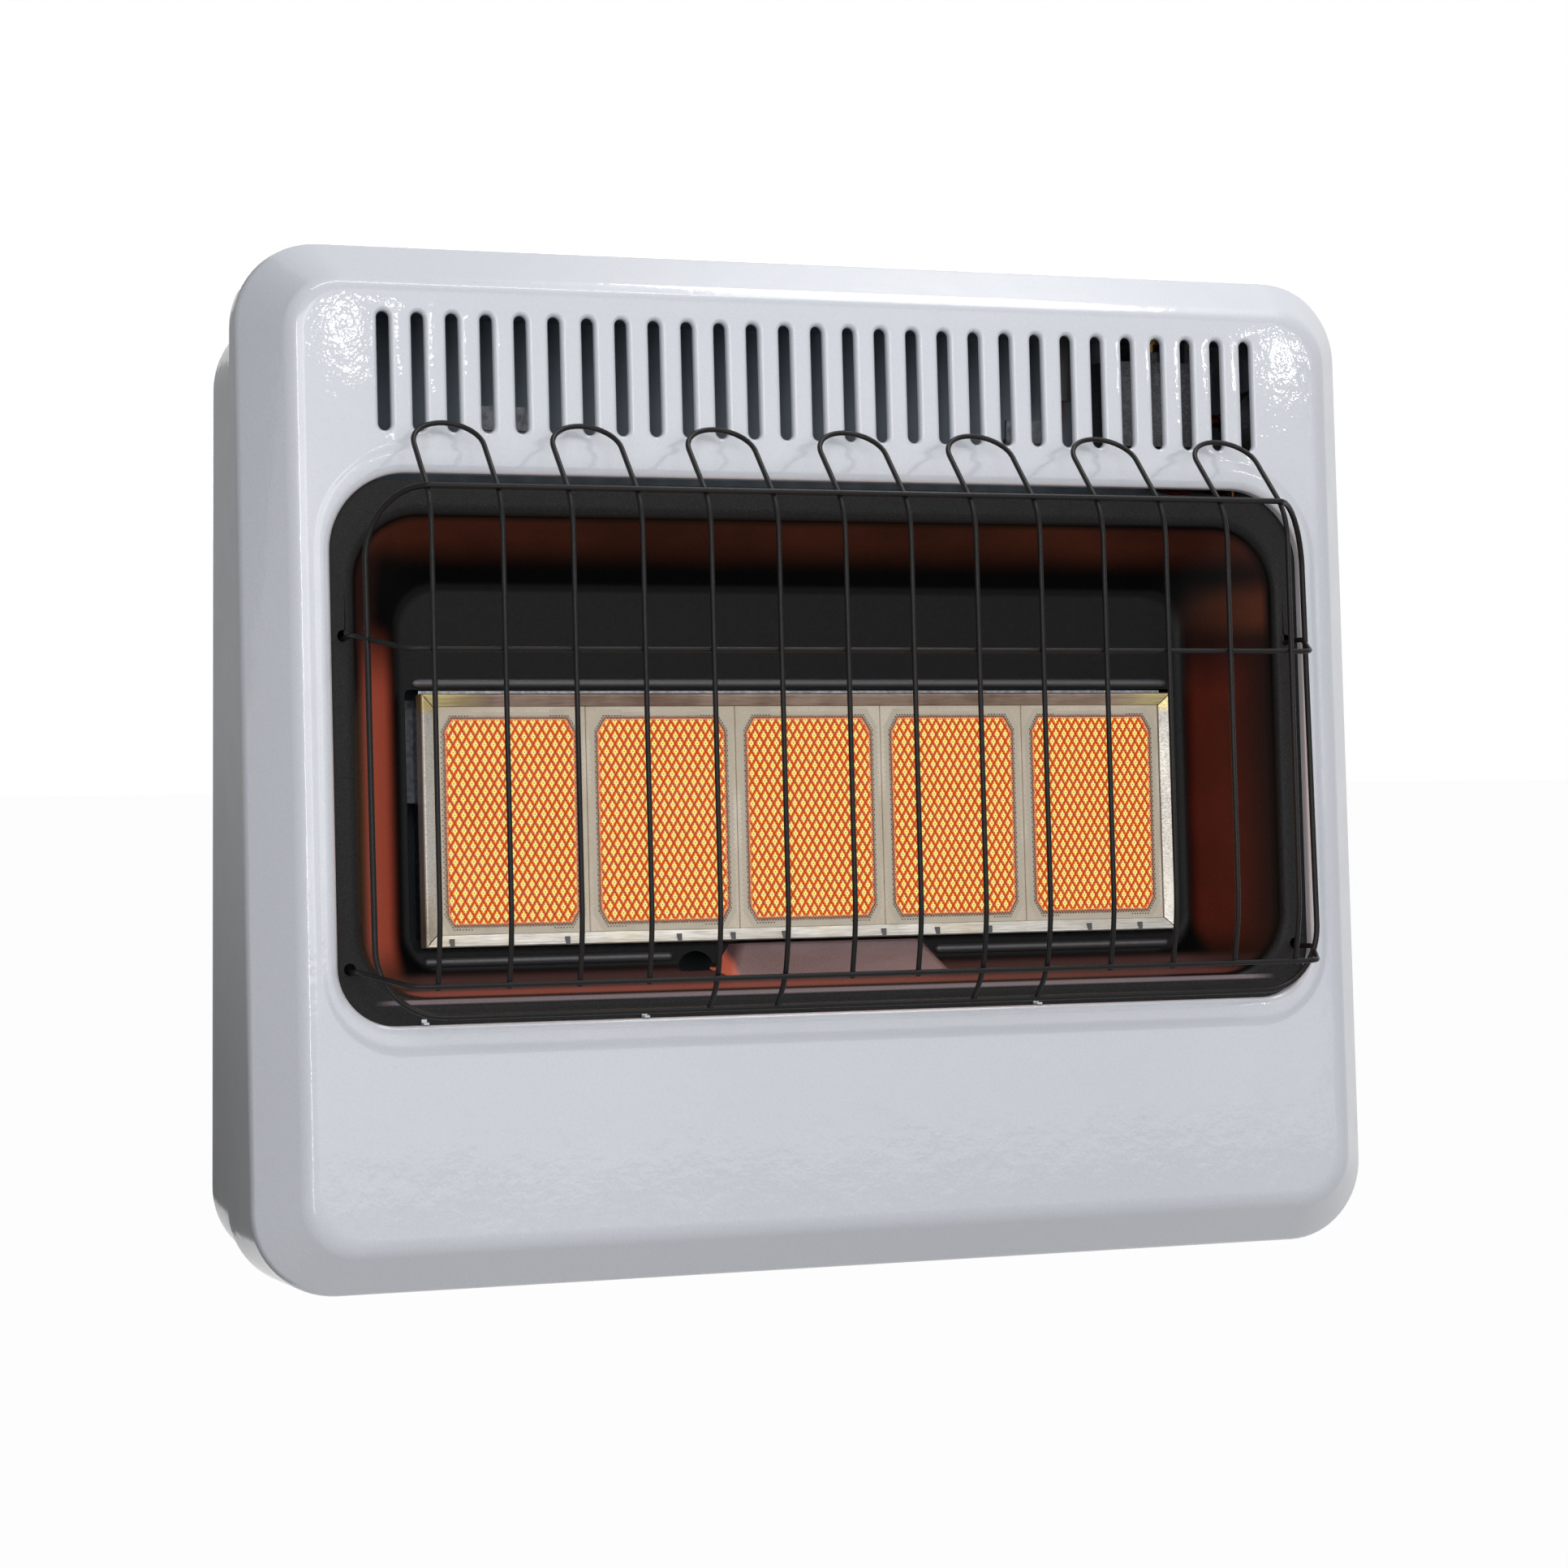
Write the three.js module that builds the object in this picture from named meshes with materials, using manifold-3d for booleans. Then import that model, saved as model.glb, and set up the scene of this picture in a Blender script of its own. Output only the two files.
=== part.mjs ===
// Wall mounted infrared gas heater, made of its separate pieces.
// Millimetres, +Z up. The front faces -Y, the wall is the plane Y = 0 and X = 0 is the middle.
import * as THREE from 'three';
import { mergeVertices } from 'three/addons/utils/BufferGeometryUtils.js';
import Module from 'manifold-3d';

const wasm = await Module();
wasm.setup();

// ---------- driving dimensions ----------

// casing; heights on the front are measured along its slope, from its middle
const casingWidth = 690;
const casingHeight = 592;
const frontTilt = THREE.MathUtils.degToRad(6.4);
const wallToFront = 138.6;
const sheet = 1.2;
const fitGap = 0.4;
const touchGap = 0.3;

// pressed front cover
const rimInset = 28;
const rimDepth = 33.6;
const rimRoll = 5;
const outerCornerRadius = 48;
const frontCornerRadius = 30;
const windowHalfWidth = 300;
const windowTop = 162;
const windowBottom = -146;
const windowTopRadius = 45;
const windowBottomRadius = 33;
const windowReturn = 6.5;
const ventCount = 28;
const ventPitch = 19.8;
const ventWidth = 7.4;
const coverScrewX = 200;
const coverTabWidth = 60;
const tabDrop = 0.8;
const ventTop = 252.4;
const ventBottom = 185.4;

// rear housing, a tray that hangs on the wall bracket
const housingDepth = 63.6;
const housingTop = 256;
const housingLap = 9;
const housingCornerRadius = 47.5;
const airSlotCount = 8;
const airSlotPitch = 72;
const airSlotLength = 52;
const airSlotWidth = 7;
const airSlotShift = 36;

// wall bracket
const bracketWidth = 420;
const bracketHeight = 56;
const bracketThickness = 2;
const bracketZ = 190;
const hookSpacing = 340;
const hookWidth = 30;
const hookRise = 14;

// side supports between housing and reflector
const supportHalfSpan = 301;
const supportFlange = 14;
const supportHalfHeight = 150;
const earTab = 24;

// reflector dish
const flangeDepth = windowReturn + sheet + touchGap;
const flangeHalfWidth = 314;
const flangeTop = 156;
const flangeBottom = -158;
const mouthHalfWidth = 284;
const mouthTop = 139;
const mouthBottom = -131;
const mouthRadius = 40;
const dishDepth = 68;
const dishHalfWidth = 245;
const dishTop = 106;
const dishBottom = -119;
const dishRadius = 26;
const lipRoll = 5;
const guardHoleRadius = 3.4;
const guardHoleX = 292;
const middleHookRise = 13;
const bottomHookRise = 10;

// burner: five plaques in a retaining frame on a box
const plaqueCount = 5;
const plaqueWidth = 92;
const plaqueHeight = 132;
const plaqueThickness = 13;
const plaqueFace = 60.7;
const plaqueMiddle = -30.5;
const activeWidth = 79;
const activeHeight = 118;
const activeCorner = 9;
const activeRecess = 0.8;
const frameMargin = 7;
const frameLip = 3;
const frameRimDepth = 56.5;
const gasketThickness = 2;
const gasketBand = 9;
const burnerBoxDepth = 26;
const burnerEarHeight = 60;
const cutoutClearance = 3;

// mixing tube and injector at the right end of the burner box
const mixingRadius = 10.5;
const mixingLength = 150;
const mixingMouthRadius = 13.4;
const mixingStickOut = 26;
const airGapLength = 7;
const injectorRadius = 6;
const injectorLength = 20;

// pilot under the burner, behind a folded hood
const hoodTopHalfWidth = 57;
const hoodBottomHalfWidth = 69;
const hoodMiddle = 10;
const hoodTopDepth = 59;
const hoodBottomDepth = 41;
const pilotDepth = 61;
const pilotZ = -111;
const pilotRadius = 3.8;
const electrodeDepth = 53;
const electrodeZ = -117;
const electrodeRadius = 1.9;
const thermoRadius = 2.2;
const leadSlotX = -34;
const leadSlotHalf = 9;
const thermoSlotX = 52;
const viewHoleX = -72;
const viewHoleRadius = 11;

// gas control under the top plate of the housing
const gasSideInset = 60.4;
const riserX = casingWidth / 2 - gasSideInset;
const controlX = riserX - 44.6;
const controlY = -33;
const valveWidth = 66;
const valveDepth = 44;
const valveHeight = 52;
const valveTop = 240;
const valveScrewSpacing = 52;
const valvePostRadius = 4.8;
const bonnetRadius = 11;
const bonnetHeight = 7;
const stemRadius = 4;
const stemBore = 4.7;
const stemBoreDepth = 18;
const knobRadius = 19;
const knobHeight = 20;
const knobPush = 4;
const collarRadius = 8;
const collarTab = 4;
const knobGrips = 12;
const igniterX = controlX - 60;
const igniterRadius = 9;
const igniterLength = 44;
const buttonRadius = 6;
const buttonTravel = 7;
const buttonRise = 11;
const regulatorRadius = 21;
const regulatorHeight = 34;
const regulatorZ = 205;
const regulatorX = riserX + 27.4;
const inletX = riserX - 8.6;
const inletY = -45;
const inletRadius = 9.5;
const inletBore = 5;
const inletDrop = 3;
const inletLength = 26;

// tubes and leads
const gasTubeRadius = 4;
const pilotTubeRadius = 2;
const leadRadius = 1.5;
const leadDepth = 76;
const leadStep = 4.8;

// wire guard
const guardPairs = 7;
const guardPitch = 39.7;
const guardWireRadius = 1.5;
const guardFrameRadius = 1.7;
const guardReach = 64;
const guardTopZ = 147.1;
const guardTopReach = 57.7;
const guardBendZ = 138.8;
const guardLoopTop = 188;
const guardLoopReach = 13.3;
const guardMiddleZ = 58;
const guardBottomZ = -124;
const guardBottomReach = 58;
const guardFrameHalfWidth = 286.5;
const guardFrameBendX = 258;
const guardFrameBottomZ = -141;
const guardFrameReach = 27;
const guardFrameBottomReach = 40;
const guardCornerRadius = 38;
const loopSteps = 6;

// screws
const screwHeadRadius = 4.5;
const screwHeadHeight = 2.6;
const screwShankRadius = 1.9;
const screwHoleRadius = 2.3;
const screwLength = 7;

// clips on the lower edge of the window, and sheets behind the front
const clipPlaces = [49 - windowHalfWidth, -123, 119];
const clipHalf = 1.5;
const clipRise = 3;
const deflectorZ = 140;
const deflectorHalfWidth = 280;

// ---------- values worked out from the driving dimensions ----------

const tiltSin = Math.sin(frontTilt);
const tiltCos = Math.cos(frontTilt);
const coverTop = casingHeight / 2;
const coverBottom = -casingHeight / 2;
const housingBack = -(bracketThickness + touchGap);
const housingHalfWidth = casingWidth / 2 - sheet - fitGap;
const housingBottom = coverWorldZ(coverBottom + sheet + fitGap, -(housingDepth + housingLap));
const burnerHalfWidth = (plaqueCount * plaqueWidth) / 2;
const frameHalfWidth = burnerHalfWidth + frameMargin;
const frameTop = plaqueMiddle + plaqueHeight / 2 + frameMargin;
const frameBottom = plaqueMiddle - plaqueHeight / 2 - frameMargin;
const plaqueBack = plaqueFace + plaqueThickness;
const gasketBack = plaqueBack + touchGap + gasketThickness;
const boxBack = gasketBack + touchGap + burnerBoxDepth;
const mixingDepth = boxBack - burnerBoxDepth / 2 - 1.5;
const mixingZ = plaqueMiddle - 10;
const earBottom = plaqueMiddle + 12;
const reflectorScrewX = supportHalfSpan + supportFlange / 2;
const reflectorScrewHeights = [-135, 135];

// height in the room of a point of the front that lies at height z on the slope and at depth Y
function coverWorldZ(z, y) {
  const depth = (y + wallToFront - z * tiltSin) / tiltCos;
  return z * tiltCos - depth * tiltSin;
}

// depth behind the front face, square to it, of the upright plane Y = y at height z on the slope
function slopeDepth(y, z) {
  return (y + wallToFront - z * tiltSin) / tiltCos;
}

// the sloped front's x, depth and height to room coordinates
function toRoom(x, depth, z) {
  return new THREE.Vector3(
    x,
    -wallToFront + depth * tiltCos + z * tiltSin,
    z * tiltCos - depth * tiltSin,
  );
}

// ---------- solids ----------

function toSolid(geometry) {
  const bare = geometry.clone();
  bare.deleteAttribute('normal');
  bare.deleteAttribute('uv');
  const merged = mergeVertices(bare, 1e-4);
  const index = merged.index.array;
  const kept = [];
  for (let i = 0; i < index.length; i += 3) {
    const [a, b, c] = [index[i], index[i + 1], index[i + 2]];
    if (a !== b && b !== c && c !== a) kept.push(a, b, c);
  }
  return new wasm.Manifold(new wasm.Mesh({
    numProp: 3,
    vertProperties: new Float32Array(merged.attributes.position.array),
    triVerts: new Uint32Array(kept),
  }));
}

function toGeometry(solid) {
  const mesh = solid.getMesh();
  const geometry = new THREE.BufferGeometry();
  geometry.setAttribute('position', new THREE.BufferAttribute(mesh.vertProperties, 3));
  geometry.setIndex(new THREE.BufferAttribute(mesh.triVerts, 1));
  return geometry;
}

// a rounded rectangle as points (x, z), counter-clockwise, with its own top and bottom radii
function roundedRect(halfWidth, top, bottom, topRadius, bottomRadius = topRadius, steps = 6) {
  const corners = [
    [halfWidth - topRadius, top - topRadius, topRadius, 0],
    [-halfWidth + topRadius, top - topRadius, topRadius, 1],
    [-halfWidth + bottomRadius, bottom + bottomRadius, bottomRadius, 2],
    [halfWidth - bottomRadius, bottom + bottomRadius, bottomRadius, 3],
  ];
  const points = [];
  for (const [x, z, radius, quarter] of corners) {
    for (let i = 0; i <= steps; i += 1) {
      const angle = (quarter + i / steps) * (Math.PI / 2);
      points.push([x + radius * Math.cos(angle), z + radius * Math.sin(angle)]);
    }
  }
  return points;
}

function rectangle(x0, x1, z0, z1) {
  return [[x1, z1], [x0, z1], [x0, z0], [x1, z0]];
}

function circle(x, z, radius, sides = 20) {
  const points = [];
  for (let i = 0; i < sides; i += 1) {
    const angle = (i / sides) * Math.PI * 2;
    points.push([x + radius * Math.cos(angle), z + radius * Math.sin(angle)]);
  }
  return points;
}

// a solid through rings of equal length, each a list of [x, y, z], front ring first
function loft(rings, flat = ([x, , z]) => new THREE.Vector2(x, z)) {
  const count = rings[0].length;
  const positions = rings.flat(2);
  const index = [];
  const front = rings[0].map(flat);
  for (const [a, b, c] of THREE.ShapeUtils.triangulateShape(front, [])) index.push(a, b, c);
  for (let r = 0; r < rings.length - 1; r += 1) {
    for (let i = 0; i < count; i += 1) {
      const j = (i + 1) % count;
      const [a, b] = [r * count + i, r * count + j];
      const [c, d] = [a + count, b + count];
      index.push(a, c, b, b, c, d);
    }
  }
  const last = (rings.length - 1) * count;
  for (const [a, b, c] of THREE.ShapeUtils.triangulateShape(front, [])) {
    index.push(last + a, last + c, last + b);
  }
  const geometry = new THREE.BufferGeometry();
  geometry.setAttribute('position', new THREE.Float32BufferAttribute(positions, 3));
  geometry.setIndex(index);
  return toSolid(geometry);
}

// an outline (x, z) pushed from depth y0 to depth y1; a depth may be a number or a function of z
function prism(outline, y0, y1) {
  const at = (depth, z) => (typeof depth === 'function' ? depth(z) : depth);
  return loft([y0, y1].map((depth) => outline.map(([x, z]) => [x, at(depth, z), z])));
}

// an outline (y, z) pushed from x0 to x1
function slab(outline, x0, x1) {
  const shape = new THREE.Shape(outline.map(([y, z]) => new THREE.Vector2(y, z)));
  const geometry = new THREE.ExtrudeGeometry(shape, { depth: x1 - x0, bevelEnabled: false });
  const turn = new THREE.Matrix4().makeBasis(
    new THREE.Vector3(0, 1, 0),
    new THREE.Vector3(0, 0, 1),
    new THREE.Vector3(1, 0, 0),
  );
  return toSolid(geometry.applyMatrix4(turn).translate(x0, 0, 0));
}

function box(x0, x1, y0, y1, z0, z1) {
  const geometry = new THREE.BoxGeometry(x1 - x0, y1 - y0, z1 - z0);
  return toSolid(geometry.translate((x0 + x1) / 2, (y0 + y1) / 2, (z0 + z1) / 2));
}

// a turned solid about an axis through the point at, along the direction axis
function turned(profile, at, axis, sides = 24) {
  const geometry = new THREE.LatheGeometry(profile.map(([r, h]) => new THREE.Vector2(r, h)), sides);
  const spin = new THREE.Quaternion().setFromUnitVectors(
    new THREE.Vector3(0, 1, 0), axis.clone().normalize(),
  );
  geometry.applyQuaternion(spin);
  geometry.translate(at.x, at.y, at.z);
  return toSolid(geometry);
}

function rod(from, to, radius, sides = 20) {
  const axis = to.clone().sub(from);
  const length = axis.length();
  return turned([[0, 0], [radius, 0], [radius, length], [0, length]], from, axis, sides);
}

// a wire that runs straight between its corners and turns each corner on a smooth bend
class BentWire extends THREE.Curve {
  constructor(corners, bend, stepsPerBend = 4) {
    super();
    const last = corners.length - 1;
    this.stops = [corners[0]];
    for (let i = 1; i < last; i += 1) {
      const into = corners[i - 1].clone().sub(corners[i]);
      const out = corners[i + 1].clone().sub(corners[i]);
      const reach = Math.min(bend, into.length() * 0.48, out.length() * 0.48);
      const start = corners[i].clone().addScaledVector(into.normalize(), reach);
      const end = corners[i].clone().addScaledVector(out.normalize(), reach);
      const arc = new THREE.QuadraticBezierCurve3(start, corners[i], end);
      this.stops.push(...arc.getPoints(stepsPerBend));
    }
    this.stops.push(corners[last]);
  }

  getPoint(t) {
    const place = t * (this.stops.length - 1);
    const i = Math.min(Math.floor(place + 1e-9), this.stops.length - 2);
    return this.stops[i].clone().lerp(this.stops[i + 1], place - i);
  }

  getPointAt(t) {
    return this.getPoint(t);
  }

  getTangentAt(t) {
    const i = Math.round(t * (this.stops.length - 1));
    const before = this.stops[Math.max(i - 1, 0)];
    const after = this.stops[Math.min(i + 1, this.stops.length - 1)];
    return after.clone().sub(before).normalize();
  }
}

function wire(corners, radius, bend, sides = 8, stepsPerBend = 4) {
  const path = new BentWire(corners, bend, stepsPerBend);
  const section = new THREE.Shape(circle(0, 0, radius, sides).map(([x, y]) => new THREE.Vector2(x, y)));
  const steps = path.stops.length - 1;
  return toSolid(new THREE.ExtrudeGeometry(section, { steps, extrudePath: path, bevelEnabled: false }));
}

// points on a quarter turn round a corner, from the run behind it to the run ahead of it
function quarterTurn(corner, behind, ahead, radius, steps = 4) {
  const points = [];
  for (let i = 0; i <= steps; i += 1) {
    const angle = (i / steps) * (Math.PI / 2);
    points.push(corner.clone()
      .addScaledVector(behind, radius * (1 - Math.sin(angle)))
      .addScaledVector(ahead, radius * (1 - Math.cos(angle))));
  }
  return points;
}

const vec = (x, y, z) => new THREE.Vector3(x, y, z);
const xAxis = vec(1, 0, 0);
const yAxis = vec(0, 1, 0);
const zAxis = vec(0, 0, 1);

// ---------- finishes ----------

const finishes = {
  whiteEnamel: { color: 0xd4d8de, roughness: 0.18, metalness: 0.0 },
  blackEnamel: { color: 0x24211f, roughness: 0.45, metalness: 0.1 },
  brightSteel: { color: 0xb9b4aa, roughness: 0.3, metalness: 0.9 },
  zincSteel: { color: 0x9a9c9e, roughness: 0.45, metalness: 0.8 },
  ceramic: { color: 0xe0d6c0, roughness: 0.9, metalness: 0.0 },
  gasket: { color: 0xd9d5cb, roughness: 1.0, metalness: 0.0 },
  brass: { color: 0xb89a52, roughness: 0.35, metalness: 0.9 },
  aluminium: { color: 0xb4b6b8, roughness: 0.4, metalness: 0.8 },
  blackPlastic: { color: 0x161616, roughness: 0.5, metalness: 0.0 },
  redPlastic: { color: 0xa3231b, roughness: 0.4, metalness: 0.0 },
  copper: { color: 0xb0693f, roughness: 0.4, metalness: 0.9 },
};

// the origin is the middle of the wall bracket's back face
const heater = new THREE.Group();
heater.position.set(0, 0, -bracketZ);
const front = new THREE.Group();
front.position.set(0, -wallToFront, 0);
front.rotation.x = -frontTilt;
heater.add(front);

function addPiece(parent, name, solid, finish) {
  const mesh = new THREE.Mesh(toGeometry(solid), new THREE.MeshStandardMaterial(finishes[finish]));
  mesh.name = name;
  parent.add(mesh);
}

// ---------- front cover ----------

function coverShell(inset, y0) {
  const side = (band, depth, radius) => roundedRect(
    casingWidth / 2 - inset - band,
    coverTop - inset - band,
    coverBottom + inset + band,
    Math.max(radius - inset, 1),
  ).map(([x, z]) => [x, typeof depth === 'function' ? depth(z) : depth, z]);
  const rearEdge = (z) => slopeDepth(-housingDepth, z) + (inset > 0 ? 1 : 0);
  return loft([
    side(rimInset + rimRoll, y0, frontCornerRadius - rimRoll),
    side(rimInset - rimRoll * 0.7, y0 + rimRoll * 0.45, frontCornerRadius + rimRoll * 0.6),
    side(rimRoll, rimDepth - rimRoll * 1.4, outerCornerRadius - rimRoll * 0.8),
    side(rimRoll * 0.24, rimDepth - rimRoll * 0.3, outerCornerRadius - rimRoll * 0.2),
    side(0, rimDepth + rimRoll * 0.9, outerCornerRadius),
    side(0, rearEdge, outerCornerRadius),
  ]);
}

function buildCover() {
  const windowOutline = roundedRect(
    windowHalfWidth, windowTop, windowBottom, windowTopRadius, windowBottomRadius,
  );
  const returnOutline = roundedRect(
    windowHalfWidth + sheet, windowTop + sheet, windowBottom - sheet,
    windowTopRadius + sheet, windowBottomRadius + sheet,
  );
  let cover = coverShell(0, 0).subtract(coverShell(sheet, sheet));
  cover = cover.add(prism(returnOutline, sheet / 2, sheet + windowReturn));
  cover = cover.subtract(prism(windowOutline, -1, sheet + windowReturn + 1));
  const ventHalf = ventWidth / 2;
  for (let i = 0; i < ventCount; i += 1) {
    const x = (i - (ventCount - 1) / 2) * ventPitch;
    const slot = roundedRect(ventHalf, ventTop, ventBottom, ventHalf - 0.01, ventHalf - 0.01, 2)
      .map(([px, pz]) => [px + x, pz]);
    cover = cover.subtract(prism(slot, -1, sheet + 1));
  }
  for (const [x, z] of coverScrewPlaces) cover = cover.subtract(coverScrewHole(x, z));
  addPiece(front, 'front_cover', cover, 'whiteEnamel');
}

// the cover hooks over two tabs at the top and is held by two screws through the bottom of its skirt
const coverScrewY = -(housingDepth + housingLap / 2);
const coverScrewPlaces = [[-coverScrewX, coverBottom], [coverScrewX, coverBottom]];

function coverScrewHole(x, z) {
  const depth = slopeDepth(coverScrewY, z);
  return rod(vec(x, depth, z - 8), vec(x, depth, z + 8), screwHoleRadius, 12);
}

// ---------- rear housing ----------

function buildHousing() {
  const y0 = -(housingDepth + housingLap);
  const outer = roundedRect(housingHalfWidth, housingTop, housingBottom, housingCornerRadius);
  const inner = roundedRect(
    housingHalfWidth - sheet, housingTop - sheet, housingBottom + sheet, housingCornerRadius - sheet,
  );
  const flangeEdge = -(housingDepth + sheet + touchGap);
  const flangeOutline = roundedRect(
    housingHalfWidth,
    coverWorldZ(coverTop - sheet - fitGap, flangeEdge),
    housingBottom,
    housingCornerRadius,
  );
  let housing = prism(outer, y0, housingBack);
  housing = housing.add(prism(flangeOutline, flangeEdge, flangeEdge + sheet));
  housing = housing.subtract(prism(inner, y0 - 1, housingBack - sheet));
  // the lap clears the roll of the cover's top edge
  housing = housing.subtract(box(
    -casingWidth, casingWidth, y0 - 1, flangeEdge, housingTop - housingCornerRadius, casingHeight,
  ));
  // two tabs under the cover's top edge carry the cover
  for (const x of [-coverScrewX, coverScrewX]) {
    const top = coverTop - sheet - fitGap - tabDrop;
    const tab = box(
      x - coverTabWidth / 2, x + coverTabWidth / 2,
      rimDepth + 1.5, slopeDepth(flangeEdge + sheet / 2, top), top - sheet, top,
    );
    housing = housing.add(intoRoom(tab));
  }
  for (const [x, z] of coverScrewPlaces) housing = housing.subtract(intoRoom(coverScrewHole(x, z)));
  const throughTop = (x, y, radius) => rod(
    vec(x, y, housingTop - 4), vec(x, y, housingTop + 2), radius, 24,
  );
  housing = housing.subtract(throughTop(controlX, controlY, collarRadius + 0.7));
  housing = housing.subtract(box(
    controlX + collarRadius - 1, controlX + collarRadius + 4, controlY - 2.3, controlY + 2.3,
    housingTop - 4, housingTop + 2,
  ));
  housing = housing.subtract(throughTop(igniterX, controlY, igniterRadius + touchGap));
  for (const dx of [-valveScrewSpacing / 2, valveScrewSpacing / 2]) {
    housing = housing.subtract(throughTop(controlX + dx, controlY, screwHoleRadius));
  }
  housing = housing.subtract(rod(
    vec(inletX, inletY, housingBottom - 3), vec(inletX, inletY, housingBottom + 5),
    inletRadius + touchGap, 24,
  ));
  for (let i = 0; i < airSlotCount; i += 1) {
    const x = (i - (airSlotCount - 1) / 2) * airSlotPitch - airSlotShift;
    housing = housing.subtract(box(
      x - airSlotLength / 2, x + airSlotLength / 2, -housingDepth / 2 - airSlotWidth / 2,
      -housingDepth / 2 + airSlotWidth / 2, housingBottom - 3, housingBottom + 5,
    ));
  }
  for (const side of [-1, 1]) {
    const x = (side * hookSpacing) / 2;
    housing = housing.subtract(box(
      x - hookWidth / 2 - 1, x + hookWidth / 2 + 1, housingBack - 4, housingBack + 4,
      bracketZ - 12, bracketZ + bracketThickness + touchGap,
    ));
  }
  addPiece(heater, 'rear_housing', housing, 'whiteEnamel');
}

// ---------- wall bracket ----------

function buildBracket() {
  const plate = box(
    -bracketWidth / 2, bracketWidth / 2, -bracketThickness, 0, bracketZ - bracketHeight / 2,
    bracketZ + bracketHeight / 2,
  );
  let bracket = plate;
  for (const side of [-1, 1]) {
    const x = (side * hookSpacing) / 2;
    const gapToHousing = sheet + 2 * touchGap;
    const shelfEnd = -bracketThickness - gapToHousing;
    bracket = bracket.add(box(
      x - hookWidth / 2, x + hookWidth / 2, shelfEnd - bracketThickness, -bracketThickness / 2,
      bracketZ, bracketZ + bracketThickness,
    ));
    bracket = bracket.add(box(
      x - hookWidth / 2, x + hookWidth / 2, shelfEnd - bracketThickness, shelfEnd, bracketZ,
      bracketZ + hookRise,
    ));
    const keyX = side * (hookSpacing / 2 - 50);
    bracket = bracket.subtract(rod(vec(keyX, -5, bracketZ), vec(keyX, 1, bracketZ), 3.2, 16));
  }
  addPiece(heater, 'wall_bracket', bracket, 'zincSteel');
}

// ---------- side supports ----------

function buildSupports() {
  const frontFace = flangeDepth + sheet + touchGap;
  const rear = (z) => slopeDepth(housingBack - sheet - touchGap, z);
  const strip = (x0, x1, y0, y1) => prism(
    rectangle(x0, x1, -supportHalfHeight, supportHalfHeight), y0, y1,
  );
  for (const [side, name] of [[-1, 'left_support'], [1, 'right_support']]) {
    let support = strip(supportHalfSpan, supportHalfSpan + sheet, frontFace, rear);
    support = support.add(strip(
      supportHalfSpan, supportHalfSpan + supportFlange, frontFace, frontFace + sheet,
    ));
    support = support.add(strip(
      supportHalfSpan, supportHalfSpan + supportFlange, (z) => rear(z) - sheet, rear,
    ));
    // the tab that the burner box's ear is screwed to
    const tabStart = boxBack + touchGap;
    support = support.add(box(
      supportHalfSpan - earTab, supportHalfSpan + sheet / 2, tabStart, tabStart + sheet, earBottom, earBottom + burnerEarHeight,
    ));
    // the window that the gas tube passes
    support = support.subtract(box(
      supportHalfSpan - 2, supportHalfSpan + 3, mixingDepth - 16, boxBack + 4, mixingZ - 20, mixingZ + 16,
    ));
    support = support.subtract(earScrewHole(1));
    if (side < 0) support = mirrored(support);
    for (const z of reflectorScrewHeights) support = support.subtract(reflectorScrewHole(side, z));
    addPiece(front, name, support, 'zincSteel');
  }
}

function reflectorScrewHole(side, z) {
  const x = side * reflectorScrewX;
  return rod(vec(x, flangeDepth - 3, z), vec(x, flangeDepth + 8, z), screwHoleRadius, 12);
}

function earScrewHole(side) {
  const x = side * (supportHalfSpan - earTab / 2);
  const z = earBottom + burnerEarHeight / 2;
  return rod(vec(x, boxBack - 6, z), vec(x, boxBack + 6, z), screwHoleRadius, 12);
}

function intoRoom(solid) {
  return solid.rotate([-THREE.MathUtils.radToDeg(frontTilt), 0, 0]).translate([0, -wallToFront, 0]);
}

function mirrored(solid) {
  const mesh = solid.getMesh();
  const points = mesh.vertProperties.slice();
  for (let i = 0; i < points.length; i += 3) points[i] = -points[i];
  const faces = mesh.triVerts.slice();
  for (let i = 0; i < faces.length; i += 3) [faces[i], faces[i + 1]] = [faces[i + 1], faces[i]];
  return new wasm.Manifold(new wasm.Mesh({ numProp: 3, vertProperties: points, triVerts: faces }));
}

// ---------- reflector ----------

function dishPlug(wall, y0) {
  const ring = (halfWidth, top, bottom, radius, depth) => roundedRect(
    halfWidth + wall, top + wall, bottom - wall, radius + wall,
  ).map(([x, z]) => [x, depth, z]);
  return loft([
    ring(
      mouthHalfWidth + lipRoll * 0.5, mouthTop + lipRoll * 0.5, mouthBottom - lipRoll * 0.5,
      mouthRadius, y0,
    ),
    ring(mouthHalfWidth, mouthTop, mouthBottom, mouthRadius - 2, flangeDepth + lipRoll),
    ring(dishHalfWidth, dishTop, dishBottom, dishRadius, dishDepth + wall),
  ]);
}

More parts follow.
